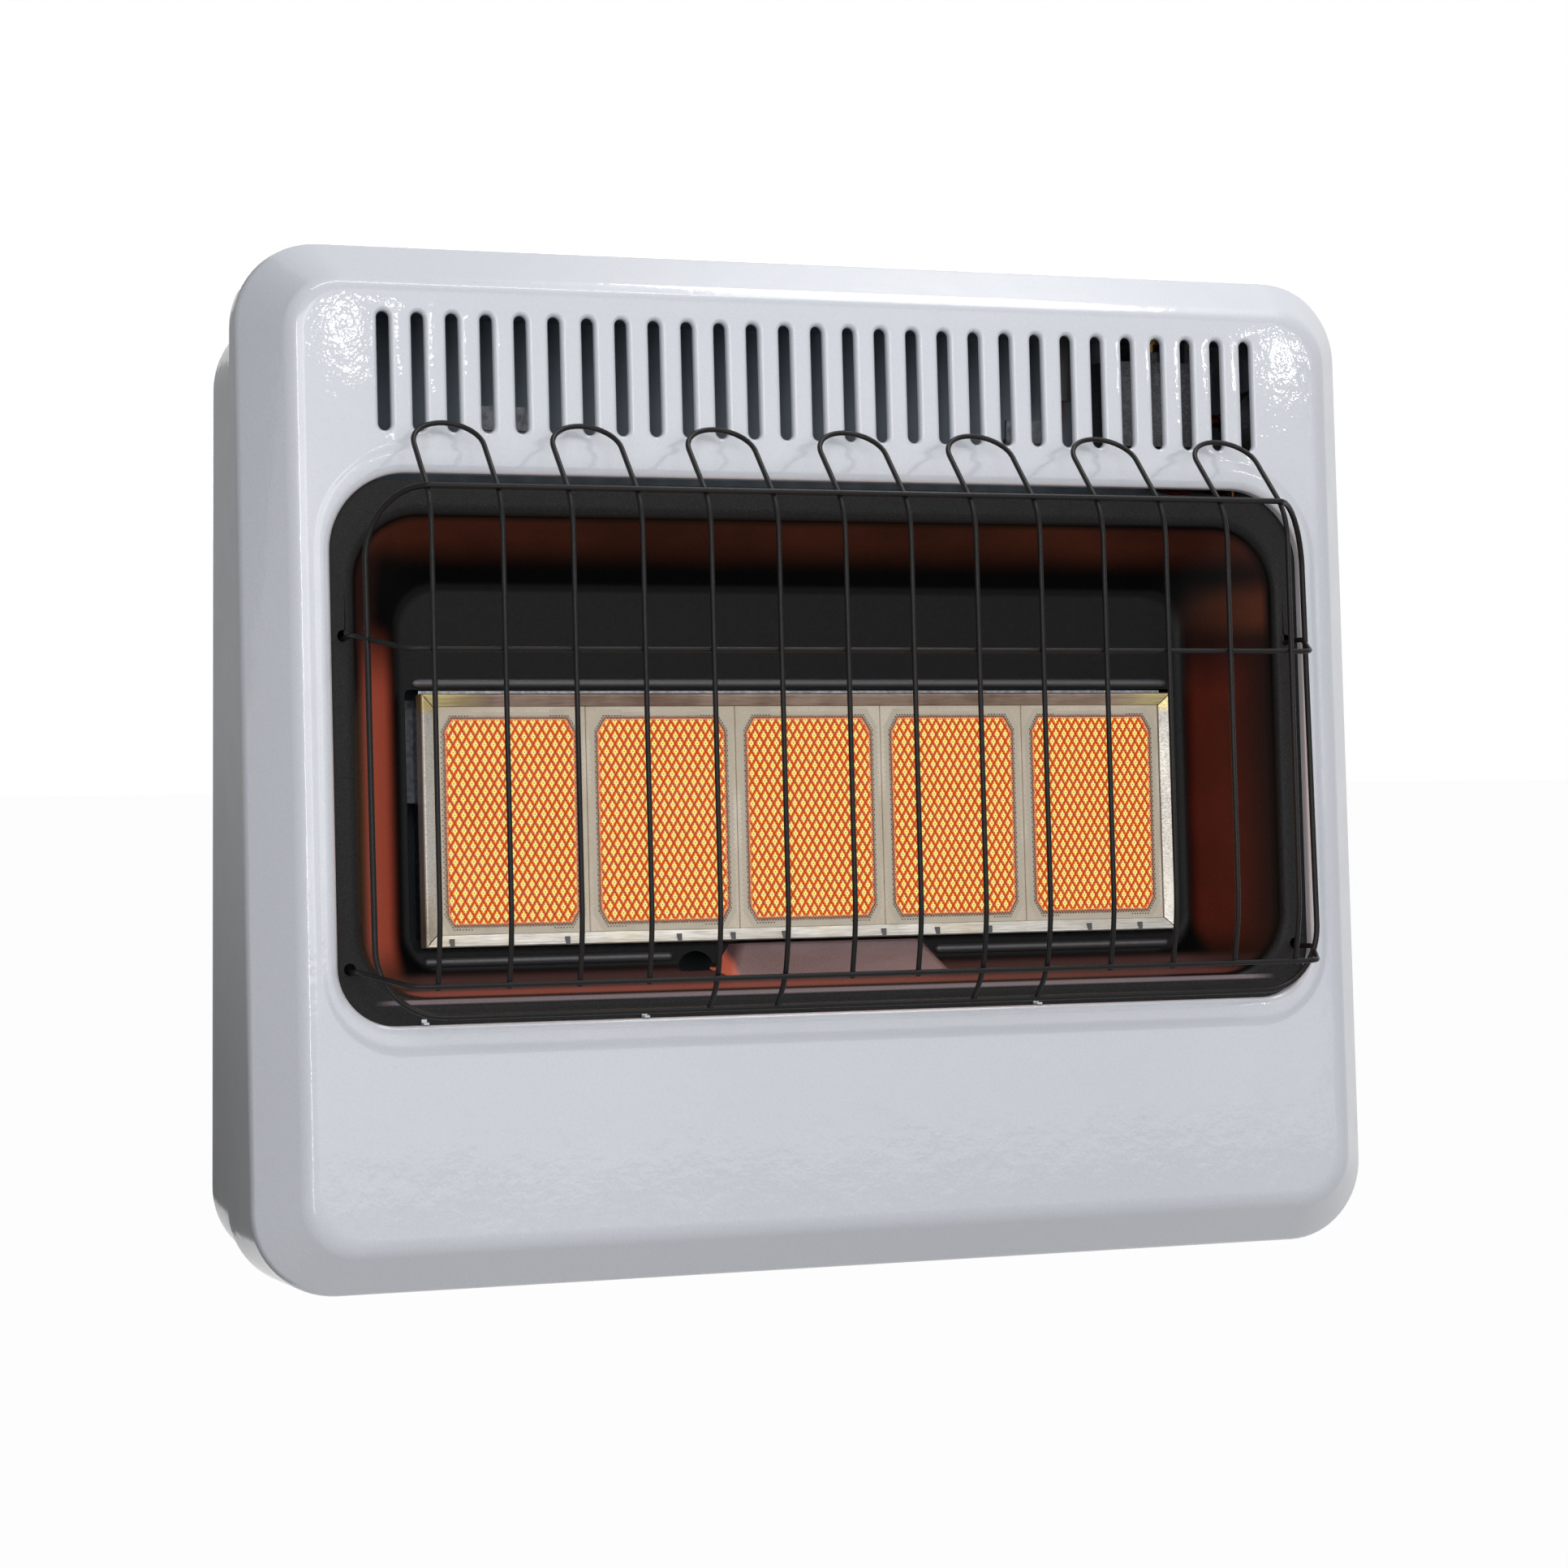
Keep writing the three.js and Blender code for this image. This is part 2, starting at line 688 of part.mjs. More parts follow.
function buildReflector() {
  const flange = roundedRect(flangeHalfWidth, flangeTop, flangeBottom, 46, 36);
  let dish = prism(flange, flangeDepth, flangeDepth + sheet);
  dish = dish.add(dishPlug(sheet, flangeDepth + sheet / 2));
  dish = dish.subtract(dishPlug(0, flangeDepth - 0.5));
  const clear = cutoutClearance;
  dish = dish.subtract(prism(
    rectangle(
      -frameHalfWidth - clear, frameHalfWidth + clear, frameBottom - clear, frameTop + clear,
    ), dishDepth - 3, dishDepth + 4,
  ));
  for (const side of [-1, 1]) {
    for (const z of [guardMiddleZ + middleHookRise, guardBottomZ + bottomHookRise]) {
      dish = dish.subtract(prism(circle(side * guardHoleX, z, guardHoleRadius, 14), 0, flangeDepth + 4));
    }
    for (const z of reflectorScrewHeights) dish = dish.subtract(reflectorScrewHole(side, z));
  }
  dish = dish.subtract(prism(
    circle(viewHoleX, dishBottom - 1, viewHoleRadius, 18), dishDepth - 8, dishDepth + 6,
  ));
  const leadSlot = roundedRect(
    leadSlotHalf, pilotZ + 3, pilotZ - 6, 4.4, 4.4, 4,
  ).map(([x, z]) => [x + leadSlotX, z]);
  dish = dish.subtract(prism(leadSlot, dishDepth - 2, dishDepth + 4));
  dish = dish.subtract(prism(circle(thermoSlotX, pilotZ - 1.5, 4, 12), dishDepth - 2, dishDepth + 4));
  addPiece(front, 'reflector', dish, 'blackEnamel');
}

// ---------- burner ----------

function buildFrame() {
  const w = frameHalfWidth;
  const lipDepth = plaqueFace - touchGap;
  const rear = dishDepth + sheet;
  const rim = (inset, depth) => rectangle(
    -w + inset, w - inset, frameBottom + inset, frameTop - inset,
  ).map(([x, z]) => [x, depth, z]);
  // sloped faces run from the outer rim in to the lip that holds the plaques
  const outside = loft([rim(0, frameRimDepth), rim(0, rear)]);
  const funnel = loft([
    rim(sheet, frameRimDepth - 1),
    rim(sheet, frameRimDepth),
    rim(frameMargin + frameLip, lipDepth - sheet),
    rim(frameMargin + frameLip, lipDepth + 1),
  ]);
  const plaqueRoom = loft([rim(frameMargin - touchGap, lipDepth), rim(frameMargin - touchGap, rear + 1)]);
  const channelStart = lipDepth + sheet;
  const channel = loft([rim(sheet, channelStart), rim(sheet, rear + 1)])
    .subtract(loft(
      [rim(frameMargin - touchGap - sheet, channelStart - 1), rim(frameMargin - touchGap - sheet, rear + 2)],
    ));
  addPiece(
    front, 'burner_frame', outside.subtract(funnel).subtract(plaqueRoom).subtract(channel),
    'brightSteel',
  );
}

function buildPlaques() {
  for (let i = 0; i < plaqueCount; i += 1) {
    const x = (i - (plaqueCount - 1) / 2) * plaqueWidth;
    const half = plaqueWidth / 2 - touchGap / 2;
    const tall = plaqueHeight / 2 - touchGap / 2;
    let plaque = prism(
      rectangle(x - half, x + half, plaqueMiddle - tall, plaqueMiddle + tall), plaqueFace,
      plaqueBack,
    );
    const [a, b, c] = [activeWidth / 2, activeHeight / 2, activeCorner];
    const zone = [
      [a, b - c], [a - c, b], [-a + c, b], [-a, b - c], [-a, -b + c], [-a + c, -b], [a - c, -b], [a, -b + c],
    ].map(([px, pz]) => [px + x, pz + plaqueMiddle]);
    plaque = plaque.subtract(prism(zone, plaqueFace - 1, plaqueFace + activeRecess));
    addPiece(front, `ceramic_plaque_${i + 1}`, plaque, 'ceramic');
  }
}

function buildGasket() {
  const [x, top, bottom] = [burnerHalfWidth, frameTop - frameMargin, frameBottom + frameMargin];
  const gasket = prism(rectangle(-x, x, bottom, top), plaqueBack + touchGap, gasketBack)
    .subtract(prism(
      rectangle(-x + gasketBand, x - gasketBand, bottom + gasketBand, top - gasketBand),
      plaqueBack, gasketBack + 1,
    ));
  addPiece(front, 'plaque_gasket', gasket, 'gasket');
}

// the box starts with a shelf for the gasket and carries an ear on each end
function buildBurnerBox() {
  const shelf = gasketBack + touchGap;
  const rimStart = dishDepth + sheet + touchGap;
  const [x, top, bottom] = [burnerHalfWidth + touchGap, frameTop - frameMargin + touchGap, frameBottom + frameMargin - touchGap];
  let burnerBox = prism(rectangle(-x - sheet, x + sheet, bottom - sheet, top + sheet), rimStart, boxBack);
  burnerBox = burnerBox.subtract(prism(rectangle(-x, x, bottom, top), rimStart - 1, shelf));
  burnerBox = burnerBox.subtract(prism(
    rectangle(
      -x + gasketBand, x - gasketBand, bottom + gasketBand, top - gasketBand,
    ), shelf - 1, boxBack - sheet,
  ));
  const flangeDrop = 9;
  burnerBox = burnerBox.add(
    prism(rectangle(-x - 5, x + 5, bottom - 5, top + flangeDrop), rimStart, rimStart + sheet)
      .subtract(prism(rectangle(-x, x, bottom, top), rimStart - 1, rimStart + 2 * sheet)),
  );
  for (const side of [-1, 1]) {
    const [x0, x1] = side < 0 ? [-supportHalfSpan + touchGap, -x] : [x, supportHalfSpan - touchGap];
    const ear = prism(
      rectangle(x0, x1, earBottom, earBottom + burnerEarHeight), boxBack - sheet, boxBack,
    );
    burnerBox = burnerBox.add(ear.subtract(earScrewHole(side)));
  }
  const tubeHole = rod(
    vec(x - gasketBand - 4, mixingDepth, mixingZ), vec(x + 4, mixingDepth, mixingZ),
    mixingRadius + touchGap, 20,
  );
  addPiece(front, 'burner_box', burnerBox.subtract(tubeHole), 'zincSteel');
}
// a straight tube with a flared mouth that draws the air in beside the injector
function buildMixingTube() {
  const start = burnerHalfWidth + mixingStickOut - mixingLength;
  const wall = 1;
  const profile = [
    [mixingRadius - wall, 0],
    [mixingRadius, 0],
    [mixingRadius, mixingLength - 14],
    [mixingMouthRadius, mixingLength],
    [mixingMouthRadius - wall, mixingLength],
    [mixingRadius - wall, mixingLength - 13],
    [mixingRadius - wall, 0],
  ];
  addPiece(
    front, 'mixing_tube', turned(profile, vec(start, mixingDepth, mixingZ), xAxis, 20), 'aluminium',
  );
}

const injectorTip = burnerHalfWidth + mixingStickOut + airGapLength;

function buildInjector() {
  const injector = turned([
    [0, 0], [2, 0], [injectorRadius, 6], [injectorRadius, injectorLength], [0, injectorLength],
  ], vec(injectorTip, mixingDepth, mixingZ), xAxis, 12);
  addPiece(front, 'gas_injector', injector, 'brass');
  // an angle on the back of the burner box holds the injector in line with the tube
  const x = injectorTip + 12;
  const [low, high] = [mixingZ - 16, mixingZ + 16];
  const back = boxBack + touchGap;
  let holder = box(x, x + sheet, mixingDepth - 11, back + sheet, low, high);
  holder = holder.add(box(burnerHalfWidth - 26, x + sheet, back, back + sheet, low, high));
  holder = holder.subtract(rod(
    vec(x - 4, mixingDepth, mixingZ), vec(x + 4, mixingDepth, mixingZ), injectorRadius + touchGap, 20,
  ));
  addPiece(front, 'injector_holder', holder, 'zincSteel');
}

// ---------- pilot ----------

// bottom surface of the dish at a depth, on its flat part
function dishFloor(depth) {
  const share = (depth - flangeDepth - lipRoll) / (dishDepth - flangeDepth - lipRoll);
  return mouthBottom + share * (dishBottom - mouthBottom);
}

function buildHood() {
  const wedge = (wall, top, rear) => loft([
    [
      [hoodMiddle + hoodBottomHalfWidth + 4 - wall, rear, dishFloor(rear) + touchGap - wall],
      [hoodMiddle + hoodBottomHalfWidth - wall, hoodBottomDepth + wall * 1.4, dishFloor(hoodBottomDepth) + touchGap - wall],
      [hoodMiddle - hoodBottomHalfWidth + wall, hoodBottomDepth + wall * 1.4, dishFloor(hoodBottomDepth) + touchGap - wall],
      [hoodMiddle - hoodBottomHalfWidth - 4 + wall, rear, dishFloor(rear) + touchGap - wall],
    ],
    [
      [hoodMiddle + hoodTopHalfWidth + 4 - wall, rear, top],
      [hoodMiddle + hoodTopHalfWidth - wall, hoodTopDepth + wall * 1.4, top],
      [hoodMiddle - hoodTopHalfWidth + wall, hoodTopDepth + wall * 1.4, top],
      [hoodMiddle - hoodTopHalfWidth - 4 + wall, rear, top],
    ],
  ], ([x, y]) => new THREE.Vector2(x, -y));
  const top = frameBottom - touchGap;
  const rear = dishDepth - touchGap;
  const hood = wedge(0, top, rear).subtract(wedge(sheet, top - sheet, rear + 4));
  addPiece(front, 'pilot_hood', hood, 'blackEnamel');
}

function buildPilot() {
  const back = dishDepth - touchGap;
  const [left, right] = [-44, 60];
  let bracket = box(left, right, back - sheet, back, pilotZ - 7, pilotZ + 4);
  bracket = bracket.subtract(prism(roundedRect(leadSlotHalf + 1, pilotZ + 3.4, pilotZ - 6.4, 4.8, 4.8, 4)
    .map(([x, z]) => [x + leadSlotX, z]), back - 3, back + 3));
  bracket = bracket.subtract(prism(circle(thermoSlotX, pilotZ - 1.5, 3, 12), back - 3, back + 3));
  for (const x of [-6, 22]) {
    const arm = slab([
      [back, pilotZ - 7], [back, pilotZ + 5], [pilotDepth, pilotZ + 5],
      [electrodeDepth - 1.1, electrodeZ + 1.6], [electrodeDepth - 2.5, electrodeZ - 3.5], [back - 6, pilotZ - 7],
    ], x, x + sheet);
    bracket = bracket.add(arm);
  }
  const through = (depth, z, radius, x0, x1) => rod(vec(x0, depth, z), vec(x1, depth, z), radius, 16);
  bracket = bracket.subtract(through(pilotDepth, pilotZ, pilotRadius + touchGap, -8, -2));
  bracket = bracket.subtract(through(electrodeDepth + 1.2, electrodeZ - 0.6, leadRadius + 0.4, -8, -2));
  bracket = bracket.subtract(through(pilotDepth, pilotZ, thermoRadius + touchGap, 20, 26));
  bracket = bracket.subtract(through(
    electrodeDepth + 1.2, electrodeZ - 0.6, electrodeRadius + touchGap, 20, 26,
  ));
  addPiece(front, 'pilot_bracket', bracket, 'zincSteel');
  const burner = turned([
    [0, 0], [pilotRadius, 0], [pilotRadius, 17], [pilotRadius - 1.2, 19], [pilotRadius - 1.2, 22], [0, 22],
  ], vec(-14, pilotDepth, pilotZ), xAxis, 16);
  addPiece(front, 'pilot_burner', burner, 'brass');
  addPiece(
    front, 'spark_electrode',
    through(electrodeDepth + 1.2, electrodeZ - 0.6, electrodeRadius, 12, 36), 'ceramic',
  );
  const tip = turned([
    [0, 0], [thermoRadius - 0.8, 0.6], [thermoRadius, 3], [thermoRadius, 26], [0, 26],
  ], vec(14, pilotDepth, pilotZ), xAxis, 14);
  addPiece(front, 'thermocouple_tip', tip, 'copper');
}

// ---------- gas control ----------

function buildControls() {
  const at = (x, z) => vec(x, controlY, z);
  const valveBottom = valveTop - valveHeight;
  let valve = box(
    controlX - valveWidth / 2, controlX + valveWidth / 2,
    controlY - valveDepth / 2, controlY + valveDepth / 2, valveBottom, valveTop,
  );
  valve = valve.add(rod(
    at(controlX, valveTop - 2), at(controlX, valveTop + bonnetHeight), bonnetRadius, 24,
  ));
  for (const side of [-1, 1]) {
    const x = controlX + (side * valveScrewSpacing) / 2;
    const postTop = housingTop - sheet - touchGap;
    valve = valve.add(rod(at(x, valveTop - 2), at(x, postTop), valvePostRadius, 16));
    valve = valve.subtract(rod(at(x, postTop - 9), at(x, postTop + 1), screwHoleRadius, 12));
  }
  valve = valve.subtract(rod(
    at(
      controlX, valveTop + bonnetHeight - stemBoreDepth,
    ), at(controlX, valveTop + bonnetHeight + 1), stemBore, 20,
  ));
  addPiece(heater, 'gas_valve', valve, 'aluminium');

  const knobBottom = housingTop + knobPush + 2;
  const collarTop = knobBottom - touchGap;
  const collarBottom = valveTop + bonnetHeight + knobPush + 1;
  const stemTop = knobBottom + knobHeight - 6.3;
  const stemBottom = valveTop + bonnetHeight - stemBoreDepth + knobPush + 1.5;
  addPiece(heater, 'valve_stem', rod(
    at(controlX, stemBottom), at(controlX, stemTop), stemRadius, 20,
  ), 'brass');

  let collar = rod(at(controlX, collarBottom), at(controlX, collarTop), collarRadius, 24);
  collar = collar.add(box(
    controlX + collarRadius - 2, controlX + collarRadius + collarTab,
    controlY - collarTab / 2, controlY + collarTab / 2, collarBottom, collarTop,
  ));
  collar = collar.subtract(rod(
    at(controlX, collarBottom - 1), at(controlX, collarTop + 1), stemRadius + touchGap, 20,
  ));
  addPiece(heater, 'thrust_collar', collar, 'brass');

  let knob = turned([
    [0, 0], [knobRadius, 0], [knobRadius, knobHeight - 3], [knobRadius - 2.5, knobHeight], [0, knobHeight],
  ], at(controlX, knobBottom), zAxis, 32);
  for (let i = 0; i < knobGrips; i += 1) {
    const angle = (i / knobGrips) * Math.PI * 2;
    const [x, y] = [controlX + (knobRadius + 1.4) * Math.cos(angle), controlY + (knobRadius + 1.4) * Math.sin(angle)];
    knob = knob.subtract(rod(vec(x, y, knobBottom + 3), vec(x, y, knobBottom + knobHeight + 1), 2.6, 10));
  }
  knob = knob.add(box(
    controlX - 2, controlX + 2, controlY - knobRadius + 5, controlY + knobRadius - 5,
    knobBottom + knobHeight - 1, knobBottom + knobHeight + 2,
  ));
  knob = knob.subtract(rod(
    at(controlX, knobBottom - 1), at(controlX, stemTop + touchGap), stemRadius + touchGap, 20,
  ));
  addPiece(heater, 'control_knob', knob, 'blackPlastic');

  const bezelBottom = housingTop + touchGap;
  const bezelTop = bezelBottom + 3;
  const igniterBottom = bezelTop - igniterLength;
  let igniter = turned([
    [0, 0], [igniterRadius, 0], [igniterRadius, igniterLength - 3], [igniterRadius + 3, igniterLength - 3],
    [igniterRadius + 3, igniterLength - 0.6], [igniterRadius + 2.4, igniterLength], [0, igniterLength],
  ], at(igniterX, igniterBottom), zAxis, 24);
  const buttonBottom = bezelTop - 10;
  igniter = igniter.subtract(rod(
    at(igniterX, buttonBottom - buttonTravel - 2), at(igniterX, bezelTop + 1), buttonRadius + 0.4, 20,
  ));
  addPiece(heater, 'igniter_body', igniter, 'blackPlastic');
  const buttonLength = 10 + buttonRise;
  const button = turned([
    [0, 0], [buttonRadius, 0], [buttonRadius, buttonLength - 1.2], [buttonRadius - 1.2, buttonLength], [0, buttonLength],
  ], at(igniterX, buttonBottom), zAxis, 20);
  addPiece(heater, 'igniter_button', button, 'redPlastic');
}

function buildGasFeed() {
  const valveRight = controlX + valveWidth / 2;
  const half = regulatorHeight / 2;
  let regulator = turned([
    [0, -half], [7, -half], [8, -half + 7], [regulatorRadius, -half + 11], [regulatorRadius, half - 11],
    [12, half - 7], [9, half], [0, half],
  ], vec(regulatorX, inletY, regulatorZ), yAxis, 24);
  regulator = regulator.add(rod(vec(regulatorX, inletY, regulatorZ), vec(
    regulatorX, inletY, regulatorZ - regulatorRadius - 7,
  ), 6.5, 16));
  regulator = regulator.add(rod(vec(regulatorX, inletY, regulatorZ), vec(
    regulatorX - regulatorRadius - 6, inletY, regulatorZ,
  ), 6, 16));
  addPiece(heater, 'gas_regulator', regulator, 'aluminium');
  const feed = rod(
    vec(valveRight + touchGap, inletY, regulatorZ),
    vec(regulatorX - regulatorRadius - 6 - touchGap, inletY, regulatorZ), gasTubeRadius, 14,
  );
  addPiece(heater, 'valve_feed_tube', feed, 'copper');

  const inletEnd = housingBottom - inletDrop;
  const seat = housingBottom + sheet + touchGap - inletEnd;
  let inlet = turned([
    [0, 0], [inletRadius, 0], [inletRadius, seat], [inletRadius + 4, seat], [inletRadius + 4, seat + 4],
    [8, seat + 4], [7, inletLength], [0, inletLength],
  ], vec(inletX, inletY, inletEnd), zAxis, 24);
  inlet = inlet.subtract(rod(
    vec(inletX, inletY, inletEnd - 1), vec(inletX, inletY, inletEnd + inletLength - 7), inletBore,
    18,
  ));
  addPiece(heater, 'gas_inlet', inlet, 'brass');
  const tubeTop = regulatorZ - regulatorRadius - 7 - touchGap;
  const tubeBottom = inletEnd + inletLength + touchGap;
  addPiece(heater, 'inlet_tube', wire([
    vec(inletX, inletY, tubeBottom),
    vec(inletX, inletY, tubeBottom + 30),
    vec(regulatorX, inletY, tubeBottom + 75),
    vec(regulatorX, inletY, tubeTop),
  ], gasTubeRadius, 12, 10, 4), 'copper');
}

// ---------- tubes and leads ----------

function buildTubes() {
  const valveFloor = valveTop - valveHeight - touchGap;
  const mainX = controlX + 18;
  const outerX = regulatorX + 16;
  const injectorEnd = toRoom(injectorTip + injectorLength + touchGap, mixingDepth, mixingZ);
  addPiece(heater, 'main_gas_tube', wire([
    vec(mainX, -24, valveFloor),
    vec(mainX, -24, valveFloor - 16),
    vec(outerX, -21, valveFloor - 16),
    vec(outerX, -21, injectorEnd.z),
    vec(outerX, injectorEnd.y, injectorEnd.z),
    injectorEnd,
  ], gasTubeRadius, 10, 10, 4), 'copper');

  const riser = leadDepth;
  const under = pilotZ - 1.5;
  addPiece(heater, 'pilot_gas_tube', wire([
    vec(controlX - 12, controlY - 14, valveFloor),
    vec(controlX - 12, controlY - 14, valveFloor - 22),
    toRoom(riserX + leadStep, riser, 170),
    toRoom(riserX + leadStep, riser, under - leadStep),
    toRoom(leadSlotX + 5.5, riser, under - leadStep),
    toRoom(leadSlotX + 5.5, dishDepth + 3.5, under - leadStep),
    toRoom(leadSlotX + 5.5, dishDepth + 3.5, under),
    toRoom(leadSlotX + 5.5, pilotDepth, pilotZ),
    toRoom(-14 - touchGap, pilotDepth, pilotZ),
  ], pilotTubeRadius, 5, 8, 3), 'copper');

  addPiece(heater, 'thermocouple_lead', wire([
    vec(controlX - 4, controlY + 8, valveFloor),
    vec(controlX - 4, controlY + 8, valveFloor - 13),
    toRoom(riserX + 2 * leadStep, riser, 176),
    toRoom(riserX + 2 * leadStep, riser, under - 2 * leadStep),
    toRoom(thermoSlotX, riser, under - 2 * leadStep),
    toRoom(thermoSlotX, dishDepth + 3.3, under - 2 * leadStep),
    toRoom(thermoSlotX, dishDepth + 3.3, under),
    toRoom(thermoSlotX, pilotDepth + 2, under),
    toRoom(44, pilotDepth, pilotZ),
    toRoom(40 + touchGap, pilotDepth, pilotZ),
  ], leadRadius, 4, 8, 3), 'copper');

  const igniterFloor = housingTop + touchGap + 3 - igniterLength - touchGap;
  addPiece(heater, 'ignition_lead', wire([
    vec(igniterX, controlY, igniterFloor),
    vec(igniterX, controlY, igniterFloor - 42),
    toRoom(riserX, riser, 164),
    toRoom(riserX, riser, under),
    toRoom(leadSlotX - 4.5, riser, under),
    toRoom(leadSlotX - 4.5, pilotDepth + 3, under),
    toRoom(leadSlotX, electrodeDepth + 1.2, electrodeZ - 0.6),
    toRoom(12 - touchGap, electrodeDepth + 1.2, electrodeZ - 0.6),
  ], leadRadius, 4, 8, 3), 'redPlastic');
}

// ---------- wire guard ----------

function buildGuard() {
  const r = guardWireRadius;
  const weld = r * 1.6;
  const places = [];
  for (let i = 0; i < guardPairs * 2; i += 1) places.push((i - (guardPairs * 2 - 1) / 2) * guardPitch);
  // the legs lean back above the bend and meet in a round loop
  const lean = vec(0, guardReach - guardLoopReach, guardLoopTop - guardBendZ).normalize();
  const half = guardPitch / 2;
  const loopPoints = (middle) => {
    const centre = vec(middle, -guardLoopReach, guardLoopTop).addScaledVector(lean, -half);
    const points = [];
    for (let i = 0; i <= loopSteps; i += 1) {
      const angle = (i / loopSteps) * Math.PI;
      const along = lean.clone().multiplyScalar(half * Math.sin(angle));
      points.push(centre.clone().add(vec(-half * Math.cos(angle), 0, 0)).add(along));
    }
    return points;
  };
  const pieces = [];
  for (let i = 0; i < guardPairs; i += 1) {
    const [a, b] = [places[2 * i], places[2 * i + 1]];
    const side = (x) => {
      const onFrame = Math.abs(x) > guardPitch && Math.abs(x) < guardPitch * 3;
      const foot = [vec(x, -guardBottomReach + weld, guardBottomZ - 2)];
      if (onFrame) foot.push(vec(x, -guardFrameBottomReach + r, guardFrameBottomZ - 1));
      return [vec(x, -guardReach, guardBendZ), vec(x, -guardReach, -96), ...foot];
    };
    pieces.push(wire([...side(a).reverse(), ...loopPoints((a + b) / 2), ...side(b)], r, 16.6, 6, 3));
  }
  const crossEnd = guardHoleX - 20;
  const hook = (z) => {
    const holeZ = z - guardHoleRadius + r + touchGap;
    const behind = flangeDepth + sheet + 4.6;
    return [vec(guardHoleX, -14, holeZ), vec(guardHoleX, behind, holeZ), vec(guardHoleX, behind, holeZ - 8)];
  };
  const mirror = (points) => points.map((p) => vec(-p.x, p.y, p.z)).reverse();
  for (const [depth, z, rise] of [
    [-guardReach + weld, guardMiddleZ, middleHookRise],
    [-guardBottomReach, guardBottomZ, bottomHookRise],
  ]) {
    const half = [vec(crossEnd, depth, z), ...hook(z + rise)];
    pieces.push(wire([...mirror(half), ...half], r, 6, 6, 3));
  }
  const w = guardFrameHalfWidth;
  const topBend = vec(guardFrameBendX, -guardTopReach, guardTopZ);
  const topCorner = vec(w, -guardFrameReach, guardTopZ);
  const lowCorner = vec(w, -guardFrameReach - 4, guardFrameBottomZ);
  const lowBend = vec(w - 60, -guardFrameBottomReach, guardFrameBottomZ);
  const down = vec(0, 0, -1);
  const halfFrame = [
    topBend,
    ...quarterTurn(topCorner, topBend.clone().sub(topCorner).normalize(), down, guardCornerRadius),
    ...quarterTurn(lowCorner, zAxis, lowBend.clone().sub(lowCorner).normalize(), guardCornerRadius),
    lowBend,
    vec(-4, -guardFrameBottomReach, guardFrameBottomZ),
  ];
  for (const side of [1, -1]) {
    const path = [vec(-4, -guardTopReach, guardTopZ), ...halfFrame];
    pieces.push(wire(path.map((p) => vec(side * p.x, p.y, p.z)), guardFrameRadius, 6, 6, 2));
  }
  addPiece(front, 'wire_guard', wasm.Manifold.union(pieces), 'blackEnamel');
}

// ---------- sheets behind the front ----------

function buildShields() {
  const rear = housingBack - sheet - touchGap;
  const deflector = slab([
    [rear, deflectorZ - 12], [rear, deflectorZ + sheet], [-104, deflectorZ + 10 + sheet],
    [-104, deflectorZ + 10], [rear - sheet, deflectorZ], [rear - sheet, deflectorZ - 12],
  ], -deflectorHalfWidth, deflectorHalfWidth);
  addPiece(heater, 'heat_deflector', deflector, 'zincSteel');
  const [plate, half, low, high] = [rear - 12, 215, -115, 60];
  let shield = box(-half, half, plate, plate + sheet, low, high);
  for (const side of [-1, 1]) {
    const [x0, x1] = side < 0 ? [-half, -half + sheet] : [half - sheet, half];
    shield = shield.add(box(x0, x1, plate, rear, low, high));
  }
  addPiece(heater, 'rear_heat_shield', shield, 'brightSteel');
}

// ---------- small parts ----------

function screw(from, axis) {
  return turned([
    [0, -screwLength], [screwShankRadius, -screwLength], [screwShankRadius, 0],
    [screwHeadRadius, 0], [screwHeadRadius, screwHeadHeight * 0.5], [screwHeadRadius * 0.7, screwHeadHeight],
    [0, screwHeadHeight],
  ], from, axis, 12);
}

function buildSmallParts() {
  clipPlaces.forEach((x, i) => {
    const floor = windowBottom + touchGap;
    const rear = windowReturn + sheet;
    const clip = box(x - clipHalf, x + clipHalf, 1, rear, floor, floor + sheet)
      .add(box(x - clipHalf, x + clipHalf, rear - sheet, rear, floor, floor + clipRise));
    addPiece(front, `window_clip_${i + 1}`, clip, 'whiteEnamel');
  });
  coverScrewPlaces.forEach(([x, z], i) => {
    const depth = slopeDepth(coverScrewY, z);
    const up = Math.sign(z);
    addPiece(
      front, `cover_screw_${i + 1}`, screw(vec(x, depth, z + up * touchGap), vec(0, 0, up)),
      'zincSteel',
    );
  });
  let count = 0;
  for (const side of [-1, 1]) {
    for (const z of reflectorScrewHeights) {
      count += 1;
      const from = vec(side * reflectorScrewX, flangeDepth - touchGap, z);
      addPiece(front, `reflector_screw_${count}`, screw(from, vec(0, -1, 0)), 'zincSteel');
    }
  }
  for (const [side, name] of [[-1, 'burner_screw_1'], [1, 'burner_screw_2']]) {
    const from = vec(
      side * (supportHalfSpan - earTab / 2), boxBack - sheet - touchGap,
      earBottom + burnerEarHeight / 2,
    );
    addPiece(front, name, screw(from, vec(0, -1, 0)), 'zincSteel');
  }
  for (const [side, name] of [[-1, 'valve_screw_1'], [1, 'valve_screw_2']]) {
    const from = vec(controlX + (side * valveScrewSpacing) / 2, controlY, housingTop + touchGap);
    addPiece(heater, name, screw(from, zAxis), 'zincSteel');
  }
}

buildCover();
buildHousing();
buildBracket();
buildSupports();
buildReflector();
buildFrame();
buildPlaques();
buildGasket();
buildBurnerBox();
buildMixingTube();
buildInjector();
buildHood();
buildPilot();
buildControls();
buildGasFeed();
buildTubes();
buildGuard();
buildShields();
buildSmallParts();

export default heater;
